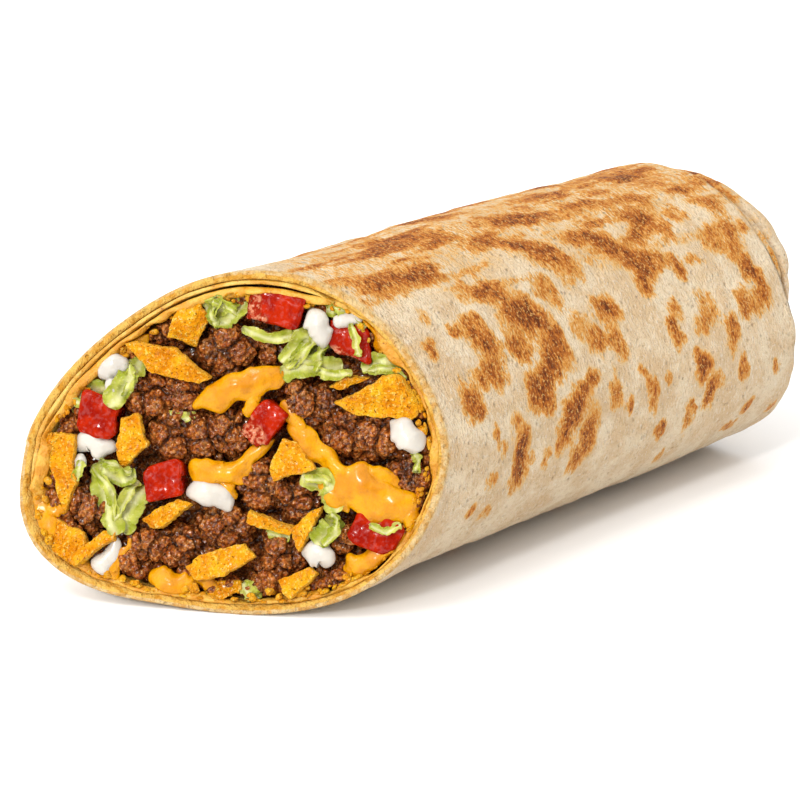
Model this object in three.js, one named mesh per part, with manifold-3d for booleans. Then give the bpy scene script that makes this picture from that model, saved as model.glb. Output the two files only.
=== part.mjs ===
// Burrito cut once on a slant, folded shut at the far end.
// Millimetres, +Z up. The roll runs along X and its cut end faces -X.
import * as THREE from 'three';
import { mergeVertices } from 'three/addons/utils/BufferGeometryUtils.js';
import Module from 'manifold-3d';

const wasm = await Module();
wasm.setup();

// Section of the roll
const WIDTH = 64;
const HEIGHT = 57.8;
const BELLY = 27.5; // height of the widest line
const CROWN_POWER = 1.4; // lower is more peaked on top
const KEEL_POWER = 3.1; // higher is squarer underneath
const SIDE_POWER = 2.05;
const LEAN = -0.033; // sideways shift per millimetre of height
const SPREAD = 0.05; // share of width gained from the cut to the lip
const REST = 0.25; // shaved off underneath for the flat resting spot
const SWELL = 0.4; // relief of the wrap over the lumps inside

// Length, cut and far end
const LENGTH = 126; // datum of the cut to the lip of the outer wrap
const CUT_SKEW = -0.57; // how far the cut runs along X per millimetre of Y
const CUT_TIP = 0.275; // and per millimetre of height
const CUT_LEVEL = 29;
const TUCK_HIGH = 11; // how far the tucked fold stands out of the lip on top
const TUCK_LOW = 1; // and low on the near side
const TUCK_SINK = 0.9; // how much deeper the fold lies under the crown
const FLAP = 1.6; // step where one fold of the end lies over the other
const HOLLOW_END = 119; // where the filling stops

// Wrap
const LAYER = 1.4; // outer tortilla layer
const INNER_LAYER = 1.05; // second layer where the roll overlaps itself
const SLIT = 0.25; // gap between the two rolled layers
const OVERLAP_FROM = -0.02; // the second layer starts here, as a share of the girth
const OVERLAP_TO = 0.28;
const OVERLAP_RAMP = 0.035;
const GAP = 0.3; // clearance between touching pieces

const GIRTH_STEPS = 48;
const CORE_STEPS = 24;
const CORE_BACK = 4.6; // the solid part of the beef starts this far behind the cut

const TAU = Math.PI * 2;
const clamp01 = (value) => Math.min(1, Math.max(0, value));
const mix = (a, b, share) => a + (b - a) * share;
const rad = (degrees) => (degrees * Math.PI) / 180;

function smooth(from, to, value) {
  const share = clamp01((value - from) / (to - from));
  return share * share * (3 - 2 * share);
}

function randomFrom(seed) {
  let state = seed * 2654435761 + 12345;
  return () => {
    state = (Math.imul(state ^ (state >>> 15), 2246822519) + 3266489917) >>> 0;
    return state / 4294967296;
  };
}

// Outline of the roll, tabled by share of its girth. Share 0 is the far side (+Y), 0.25 about the top.
function outlineTable() {
  const steps = 2000;
  const table = [];
  let run = 0;
  for (let i = 0; i <= steps; i += 1) {
    const turn = (TAU * i) / steps;
    const across = Math.cos(turn);
    const rise = Math.sin(turn);
    const side = Math.sign(across) * Math.abs(across) ** (2 / SIDE_POWER);
    const z = rise >= 0
      ? BELLY + (HEIGHT - BELLY) * rise ** (2 / CROWN_POWER)
      : BELLY - BELLY * Math.abs(rise) ** (2 / KEEL_POWER);
    const y = (WIDTH / 2) * side + LEAN * (z - BELLY);
    if (i > 0) run += Math.hypot(y - table[i - 1].y, z - table[i - 1].z);
    table.push({ run, y, z });
  }
  return table.map((entry) => ({ share: entry.run / run, y: entry.y, z: entry.z }));
}

const OUTLINE = outlineTable();

function outlineAt(share) {
  const wanted = ((share % 1) + 1) % 1;
  let low = 0;
  let high = OUTLINE.length - 1;
  while (high - low > 1) {
    const middle = (low + high) >> 1;
    if (OUTLINE[middle].share > wanted) high = middle;
    else low = middle;
  }
  const a = OUTLINE[low];
  const b = OUTLINE[high];
  const part = (wanted - a.share) / (b.share - a.share);
  return { y: mix(a.y, b.y, part), z: mix(a.z, b.z, part) };
}

// The outline with its corners eased by a short weighted mean.
function easedOutline(share) {
  const reach = 0.012;
  const taps = [[-1, 1], [-0.5, 2], [0, 3], [0.5, 2], [1, 1]];
  let y = 0;
  let z = 0;
  let total = 0;
  for (const [step, weight] of taps) {
    const point = outlineAt(share + step * reach);
    y += point.y * weight;
    z += point.z * weight;
    total += weight;
  }
  return { y: y / total, z: z / total };
}

// Places where the roll bulges or is drawn in: middle and spread as shares of the girth,
// then the rise near the cut and near the lip.
const BULGES = [
  { middle: 0.66, spread: 0.05, near: 0.6, far: 0.4 },
  { middle: 0.78, spread: 0.05, near: -0.8, far: 0 },
  { middle: 0.06, spread: 0.06, near: 0.4, far: 0 },
  { middle: 0.23, spread: 0.08, near: 0.3, far: -0.3 },
  { middle: 0.52, spread: 0.05, near: 0, far: 0.9 },
];

function swell(share, x) {
  const wrapped = ((share % 1) + 1) % 1;
  const slow = Math.sin(TAU * (2 * share + x / 95) + 0.6);
  const quick = Math.sin(TAU * (5 * share - x / 41) + 1.9);
  const waves = SWELL * (0.6 * slow + 0.4 * quick) * smooth(-6, 6, x);
  return BULGES.reduce((sum, { middle, spread, near, far }) => {
    const rise = near * (1 - smooth(0, 28, x)) + far * smooth(70, 122, x);
    return sum + rise * Math.exp(-(((wrapped - middle) / spread) ** 2));
  }, waves);
}

// A point of the wrap: share of the girth, place along X, depth below the outside.
function skin(share, x, depth) {
  const nudge = 0.001;
  const here = easedOutline(share);
  const before = easedOutline(share - nudge);
  const after = easedOutline(share + nudge);
  const alongY = after.y - before.y;
  const alongZ = after.z - before.z;
  const size = Math.hypot(alongY, alongZ);
  const inward = depth - swell(share, x);
  const widen = 1 + SPREAD * clamp01(x / LENGTH);
  const y = (here.y - (inward * alongZ) / size) * widen;
  const z = here.z + (inward * alongY) / size;
  return new THREE.Vector3(x, y, Math.max(z - REST, depth));
}

function cutX(y, z) {
  return CUT_SKEW * y + CUT_TIP * (z - CUT_LEVEL);
}

// The same point where it meets the cut.
function skinAtCut(share, depth, behind) {
  let x = 0;
  for (let pass = 0; pass < 4; pass += 1) {
    const point = skin(share, x, depth);
    x = cutX(point.y, point.z) + behind;
  }
  return skin(share, x, depth);
}

// Depth of the inside of the wrap: one layer, or two and the slit where the roll overlaps.
function wallAt(share) {
  const wrapped = share > 0.5 ? share - 1 : share;
  const rising = smooth(OVERLAP_FROM - OVERLAP_RAMP, OVERLAP_FROM, wrapped);
  const falling = smooth(OVERLAP_TO, OVERLAP_TO + OVERLAP_RAMP, wrapped);
  return LAYER + (INNER_LAYER + SLIT) * rising * (1 - falling);
}

// How far the tucked fold stands out beyond the lip, and how deep it lies under the crown.
function tuckAt(point) {
  const high = smooth(28, 44, point.z);
  const back = smooth(-26, 10, point.y);
  return mix(TUCK_LOW, TUCK_HIGH, clamp01(high + 0.6 * back));
}

function tuckSink(point) {
  return TUCK_SINK * smooth(48, 57, point.z);
}

// Closed solids from rings of points, a fan closing each end
function orient(geometry) {
  const place = geometry.attributes.position;
  const index = geometry.index.array;
  const a = new THREE.Vector3();
  const b = new THREE.Vector3();
  const c = new THREE.Vector3();
  let volume = 0;
  for (let i = 0; i < index.length; i += 3) {
    a.fromBufferAttribute(place, index[i]);
    b.fromBufferAttribute(place, index[i + 1]);
    c.fromBufferAttribute(place, index[i + 2]);
    volume += a.dot(b.cross(c));
  }
  if (volume < 0) {
    for (let i = 0; i < index.length; i += 3) {
      const kept = index[i];
      index[i] = index[i + 1];
      index[i + 1] = kept;
    }
  }
  return geometry;
}

function geometryOf(points, index) {
  const geometry = new THREE.BufferGeometry();
  const flat = new Float32Array(points.length * 3);
  points.forEach((point, i) => point.toArray(flat, i * 3));
  geometry.setAttribute('position', new THREE.BufferAttribute(flat, 3));
  geometry.setIndex(index);
  return orient(geometry);
}

function ringSolid(rings) {
  const size = rings[0].length;
  const points = rings.flat();
  const index = [];
  for (let row = 0; row + 1 < rings.length; row += 1) {
    for (let k = 0; k < size; k += 1) {
      const next = (k + 1) % size;
      const a = row * size + k;
      const b = row * size + next;
      index.push(a, b, b + size, a, b + size, a + size);
    }
  }
  for (const [row, flip] of [[0, true], [rings.length - 1, false]]) {
    const middle = new THREE.Vector3();
    rings[row].forEach((point) => middle.addScaledVector(point, 1 / size));
    const tip = points.push(middle) - 1;
    for (let k = 0; k < size; k += 1) {
      const a = row * size + k;
      const b = row * size + ((k + 1) % size);
      if (flip) index.push(b, a, tip);
      else index.push(a, b, tip);
    }
  }
  return geometryOf(points, index);
}

// A thin solid with both faces split alike. `at(i, j, side)` takes shares and -1 or 1 for the face.
function sheetSolid(columns, rows, at) {
  const points = [];
  const wide = columns + 1;
  const layer = wide * (rows + 1);
  for (const side of [1, -1]) {
    for (let j = 0; j <= rows; j += 1) {
      for (let i = 0; i <= columns; i += 1) points.push(at(i / columns, j / rows, side));
    }
  }
  const index = [];
  for (let j = 0; j < rows; j += 1) {
    for (let i = 0; i < columns; i += 1) {
      const a = j * wide + i;
      const b = a + 1;
      const c = b + wide;
      const d = a + wide;
      index.push(a, b, c, a, c, d);
      index.push(b + layer, a + layer, c + layer, c + layer, a + layer, d + layer);
    }
  }
  const edge = [];
  for (let i = 0; i < columns; i += 1) edge.push(i);
  for (let j = 0; j < rows; j += 1) edge.push(j * wide + columns);
  for (let i = columns; i > 0; i -= 1) edge.push(rows * wide + i);
  for (let j = rows; j > 0; j -= 1) edge.push(j * wide);
  edge.forEach((a, k) => {
    const b = edge[(k + 1) % edge.length];
    index.push(b, a, a + layer, b, a + layer, b + layer);
  });
  return geometryOf(points, index);
}

// Frame of the cut face: u to the right, v up, out of the food
const CUT_ORIGIN = new THREE.Vector3(0, 0, CUT_LEVEL);
const FACE_OUT = new THREE.Vector3(-1, CUT_SKEW, CUT_TIP).normalize();
const FACE_U = new THREE.Vector3(-CUT_SKEW, -1, 0).normalize();
const FACE_V = new THREE.Vector3().crossVectors(FACE_OUT, FACE_U);

function onFace(u, v, out) {
  const onPlane = CUT_ORIGIN.clone().addScaledVector(FACE_U, u).addScaledVector(FACE_V, v);
  return onPlane.addScaledVector(FACE_OUT, out);
}

// Turn about the way out of the face, after tilting about the piece's own length and width.
function faceMatrix({ at, out, turn = 0, pitch = 0, rear = 0 }) {
  const local = new THREE.Matrix4().makeRotationZ(rad(turn));
  local.multiply(new THREE.Matrix4().makeRotationY(rad(rear)));
  local.multiply(new THREE.Matrix4().makeRotationX(rad(pitch)));
  const basis = new THREE.Matrix4().makeBasis(FACE_U, FACE_V, FACE_OUT);
  return basis.setPosition(onFace(at[0], at[1], out)).multiply(local);
}

const ORIGIN = new THREE.Vector2(0, 0);

// Diced tomato: a block with its corners cut, drawn in a little towards its back.
function dice(spec) {
  const [width, height, depth] = spec.size;
  const cut = 0.2; // share of a side taken by a cut corner
  const corners = [[-1, -1], [1, -1], [1, 1], [-1, 1]].flatMap(([x, y]) => {
    const before = [x * (1 - 2 * cut), y];
    const after = [x, y * (1 - 2 * cut)];
    return x * y > 0 ? [after, before] : [before, after];
  });
  const levels = [[0.5, 0.8], [0.38, 1], [-0.38, 0.9], [-0.5, 0.7]]; // share of depth, share of outline
  const matrix = faceMatrix(spec);
  return ringSolid(levels.map(([level, share]) => corners.map(([x, y]) => {
    const across = (y * height * share) / 2;
    const along = (x * width * share) / 2 + (spec.shear ?? 0) * across;
    return new THREE.Vector3(along, across, level * depth).applyMatrix4(matrix);
  })));
}

// Broken corn chip: a plate arched along its length, its outline through the corners where it broke.
const CHIP_THICK = 1.3;

function chip({ corners, out, along, pitch, bend }) {
  const count = corners.length;
  const at = [0, 1].map((axis) => corners.reduce((sum, corner) => sum + corner[axis] / count, 0));
  const fromMiddle = corners.map(([u, v]) => new THREE.Vector2(u - at[0], v - at[1]));
  const local = fromMiddle.map((corner) => corner.rotateAround(ORIGIN, -rad(along)));
  const outline = local.flatMap((corner, k) => [corner, corner.clone().lerp(local[(k + 1) % count], 0.5)]);
  const half = Math.max(...local.map(({ x }) => Math.abs(x)));
  const matrix = faceMatrix({ at, out, turn: along, pitch });
  const levels = [[0.5, 0.5], [0.5, 1], [-0.5, 1], [-0.5, 0.5]]; // share of thickness, share of outline
  return ringSolid(levels.map(([level, share]) => outline.map(({ x, y }) => {
    const arch = bend * (1 - ((share * x) / half) ** 2);
    return new THREE.Vector3(x * share, y * share, arch + level * CHIP_THICK).applyMatrix4(matrix);
  })));
}

function pathOf(points) {
  const curve = new THREE.CatmullRomCurve3(points.map(([u, v, out]) => onFace(u, v, out)));
  return (share) => {
    const tangent = curve.getTangent(share);
    const side = new THREE.Vector3().crossVectors(FACE_OUT, tangent).normalize();
    const up = new THREE.Vector3().crossVectors(tangent, side);
    return { point: curve.getPoint(share), side, up };
  };
}

// Shred of lettuce: a wavy ribbon along a path, thicker at its rib.
const LEAF_THICK = 0.7;

function shred(spec) {
  const { path, width, twist = [0, 0], ruffle = 0.5, waves = 1.6 } = spec;
  const frameAt = pathOf(path);
  return sheetSolid(6, 2, (i, j, side) => {
    const { point, side: right, up } = frameAt(i);
    const across = 2 * j - 1;
    const half = (width / 2) * (0.4 + 0.6 * Math.sin(Math.PI * mix(0.06, 0.94, i)) ** 0.7);
    const angle = rad(mix(twist[0], twist[1], i));
    const wave = ruffle * Math.sin(TAU * waves * i + 1.3 * across);
    const flat = right.clone().multiplyScalar(Math.cos(angle)).addScaledVector(up, Math.sin(angle));
    const proud = up.clone().multiplyScalar(Math.cos(angle)).addScaledVector(right, -Math.sin(angle));
    const lift = wave + (side * LEAF_THICK * (1.25 - 0.35 * Math.abs(across))) / 2;
    return point.addScaledVector(flat, across * half).addScaledVector(proud, lift);
  });
}

// Poured cheese or a tail of cream: a flattened tube, each path entry u, v, out, half width.
function flow(spec) {
  const { path, flat = 0.55, rows = 6 } = spec;
  const around = 7;
  const frameAt = pathOf(path);
  const rings = [];
  for (let row = 0; row <= rows; row += 1) {
    const share = row / rows;
    const { point, side, up } = frameAt(share);
    const place = share * (path.length - 1);
    const near = Math.min(path.length - 2, Math.floor(place));
    const swellHere = mix(path[near][3], path[near + 1][3], place - near);
    const round = Math.sqrt(Math.max(0.04, 1 - Math.abs(2 * share - 1) ** 7));
    const half = swellHere * round * (1 + 0.08 * Math.sin(9 * share + place));
    const ring = [];
    for (let k = 0; k < around; k += 1) {
      const turn = (TAU * k) / around;
      const spot = point.clone().addScaledVector(side, half * Math.cos(turn));
      ring.push(spot.addScaledVector(up, half * flat * Math.sin(turn)));
    }
    rings.push(ring);
  }
  return ringSolid(rings);
}

// The wrap
function ringAt(place) {
  const ring = [];
  for (let k = 0; k < GIRTH_STEPS; k += 1) ring.push(place(k / GIRTH_STEPS));
  return ring;
}

function between(share, depth, part, end) {
  const start = skinAtCut(share, depth, 0);
  return skin(share, mix(start.x, end, part), depth);
}

function towardsAxis(point, pull) {
  return point.set(point.x, point.y * (1 - pull), mix(point.z, HEIGHT / 2, pull));
}

function hollowRings(spare) {
  const end = HOLLOW_END - spare;
  const deep = (share) => wallAt(share) + spare;
  const rings = [];
  for (const pull of [0.7, 0.35]) {
    rings.push(ringAt((share) => towardsAxis(skin(share, end, deep(share) + 3), pull)));
  }
  rings.push(ringAt((share) => skin(share, end, deep(share) + 3)));
  rings.push(ringAt((share) => skin(share, end - 3, deep(share))));
  for (const part of [0.6, 0.2]) {
    rings.push(ringAt((share) => between(share, deep(share), part, end - 3)));
  }
  return rings;
}

function tuckRing(reach, depth, pull) {
  return ringAt((share) => {
    const outer = skin(share, LENGTH, 0);
    const stand = tuckAt(outer);
    const fold = 0.5 * Math.sin(TAU * 5 * share + 0.8) * smooth(0.4, 1, reach) * (1 - pull);
    const sink = tuckSink(outer) * smooth(0, 0.5, reach);
    const point = towardsAxis(skin(share, LENGTH + stand * reach + fold, depth + sink), pull);
    const pastFlap = 0.5 * point.y + 0.86 * (point.z - 31);
    point.x += FLAP * (smooth(-4, 4, pastFlap) - 0.5) * smooth(0.6, 1, reach + pull);
    return point;
  });
}

function tortilla() {
  const rings = hollowRings(0);
  rings.push(ringAt((share) => skinAtCut(share, wallAt(share), 0.3)));
  rings.push(ringAt((share) => skinAtCut(share, wallAt(share) - 0.3, 0)));
  rings.push(ringAt((share) => skinAtCut(share, 0.3, 0)));
  rings.push(ringAt((share) => skinAtCut(share, 0, 0.35)));
  for (const part of [0.1, 0.24, 0.38, 0.52, 0.66, 0.8, 0.92, 0.985]) {
    rings.push(ringAt((share) => between(share, 0, part, LENGTH)));
  }
  const lip = [[0, 0.35], [0.1, 1.1], [-0.8, 1.5], [-1.6, 2]];
  for (const [ahead, depth] of lip) rings.push(ringAt((share) => skin(share, LENGTH + ahead, depth)));
  rings.push(tuckRing(0.02, 2.3, 0));
  rings.push(tuckRing(0.35, 1.7, 0));
  rings.push(tuckRing(0.72, 2.1, 0));
  rings.push(tuckRing(0.92, 3.3, 0));
  rings.push(tuckRing(1, 5.4, 0));
  rings.push(tuckRing(1, 6.5, 0.2));
  rings.push(tuckRing(0.9, 6.5, 0.5));
  rings.push(tuckRing(0.82, 6.5, 0.8));
  return ringSolid(rings);
}

// The gap between the rolled layers, open at the cut
function rollSlit() {
  const reach = 100;
  return sheetSolid(14, 2, (i, j, side) => {
    const share = mix(OVERLAP_FROM + 0.005, OVERLAP_TO - 0.005, i);
    const depth = side > 0 ? LAYER : LAYER + SLIT;
    const start = skinAtCut(share, depth, -1);
    return skin(share, mix(start.x, reach, j), depth);
  });
}

// Space the filling may take, run out past the cut
function fillingSpace() {
  const rings = hollowRings(GAP);
  rings.push(ringAt((share) => skinAtCut(share, wallAt(share) + GAP, 0)));
  rings.push(ringAt((share) => skinAtCut(share, wallAt(share) + GAP, -12)));
  return ringSolid(rings);
}

// Seasoned ground beef: a core the length of the roll, clumps on its cut face, crumbs on the clumps
const CRUMB = 3.1; // mean reach of a crumb
const CRUMB_AREA = 15; // face area each crumb covers
const CLUMP_OUT = -4.4; // level of the clumps' middles
const CLUMP_RISE = 2.7;
const CRUMB_KEEP = 0.6; // a crumb covered more than this leaves is left out
const GOLDEN_TURN = 2.39996;

const CLUMPS = [
  { at: [-13.8, 18.2], half: [3.2, 2.4] },
  { at: [-1.8, 16.2], half: [5, 5] },
  { at: [5.6, 16.1], half: [2.4, 2.8] },
  { at: [-16, 7.4], half: [4, 4.2] },
  { at: [-9.8, 7.6], half: [3.6, 3.8] },
  { at: [-11.2, 0.2], half: [3.8, 4.4] },
  { at: [-5.4, 0.6], half: [3.8, 4.2] },
  { at: [-0.2, 2.2], half: [3.4, 4] },
  { at: [11.6, 7.4], half: [3.8, 4.4] },
  { at: [16.2, 6.4], half: [3.2, 4] },
  { at: [19.8, 2.8], half: [4, 4.2] },
  { at: [25.4, 2.2], half: [4.2, 4.4] },
  { at: [30.4, -3.8], half: [3.6, 3.8] },
  { at: [-30.6, 1.6], half: [2.2, 2.6] },
  { at: [4.6, -7], half: [4.4, 4.6] },
  { at: [12, -9.2], half: [4.8, 3.6] },
  { at: [-25.2, -12], half: [3.8, 4.8] },
  { at: [-33, -11.8], half: [2.6, 3] },
  { at: [-14.4, -18.4], half: [4.8, 3.8] },
  { at: [-8.2, -19.4], half: [4.2, 3.8] },
  { at: [-17.6, -21.8], half: [3, 3.2] },
  { at: [-1.6, -15], half: [4, 3.8] },
  { at: [6.4, -24], half: [2.8, 3.2] },
  { at: [8.8, -19.2], half: [3.4, 3.6] },
  { at: [19.6, -15.6], half: [2.2, 2.2] },
  { at: [18.8, -22.4], half: [2.4, 1.8] },
];

function beefCore() {
  const deep = (share) => wallAt(share) + GAP + 0.05;
  const end = HOLLOW_END - GAP - 0.05;
  const rings = [];
  const ring = (place) => {
    const points = [];
    for (let k = 0; k < CORE_STEPS; k += 1) points.push(place(k / CORE_STEPS));
    rings.push(points);
  };
  ring((share) => skin(share, end, deep(share) + 3.2));
  ring((share) => skin(share, end - 3.2, deep(share)));
  for (const part of [0.66, 0.33]) ring((share) => between(share, deep(share), part, end));
  ring((share) => skinAtCut(share, deep(share), CORE_BACK));
  return ringSolid(rings);
}

function crumb(at, out, radius, random) {
  const bit = new THREE.OctahedronGeometry(radius, 0);
  bit.deleteAttribute('normal');
  bit.deleteAttribute('uv');
  const merged = mergeVertices(bit, 1e-4);
  const place = merged.attributes.position;
  for (let i = 0; i < place.count; i += 1) {
    const grow = mix(0.86, 1.16, random());
    place.setXYZ(i, place.getX(i) * grow, place.getY(i) * grow, place.getZ(i) * grow);
  }
  const spin = new THREE.Euler(random() * TAU, random() * TAU, random() * TAU);
  merged.applyMatrix4(new THREE.Matrix4().makeRotationFromEuler(spin));
  return orient(merged.applyMatrix4(faceMatrix({ at, out })));
}

function crumbs() {
  const random = randomFrom(7);
  const list = [];
  for (const { at, half: [a, b] } of CLUMPS) {
    const count = Math.max(2, Math.round((a * b * Math.PI) / CRUMB_AREA));
    for (let i = 0; i < count; i += 1) {
      const far = Math.sqrt((i + 0.5) / count);
      const turn = i * GOLDEN_TURN + at[0];
      const spot = [at[0] + a * far * Math.cos(turn), at[1] + b * far * Math.sin(turn)];
      const out = CLUMP_OUT + CLUMP_RISE * Math.sqrt(1 - 0.8 * far * far);
      list.push(crumb(spot, out, CRUMB * mix(0.85, 1.15, random()), random));
    }
  }
  return list;
}

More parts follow.
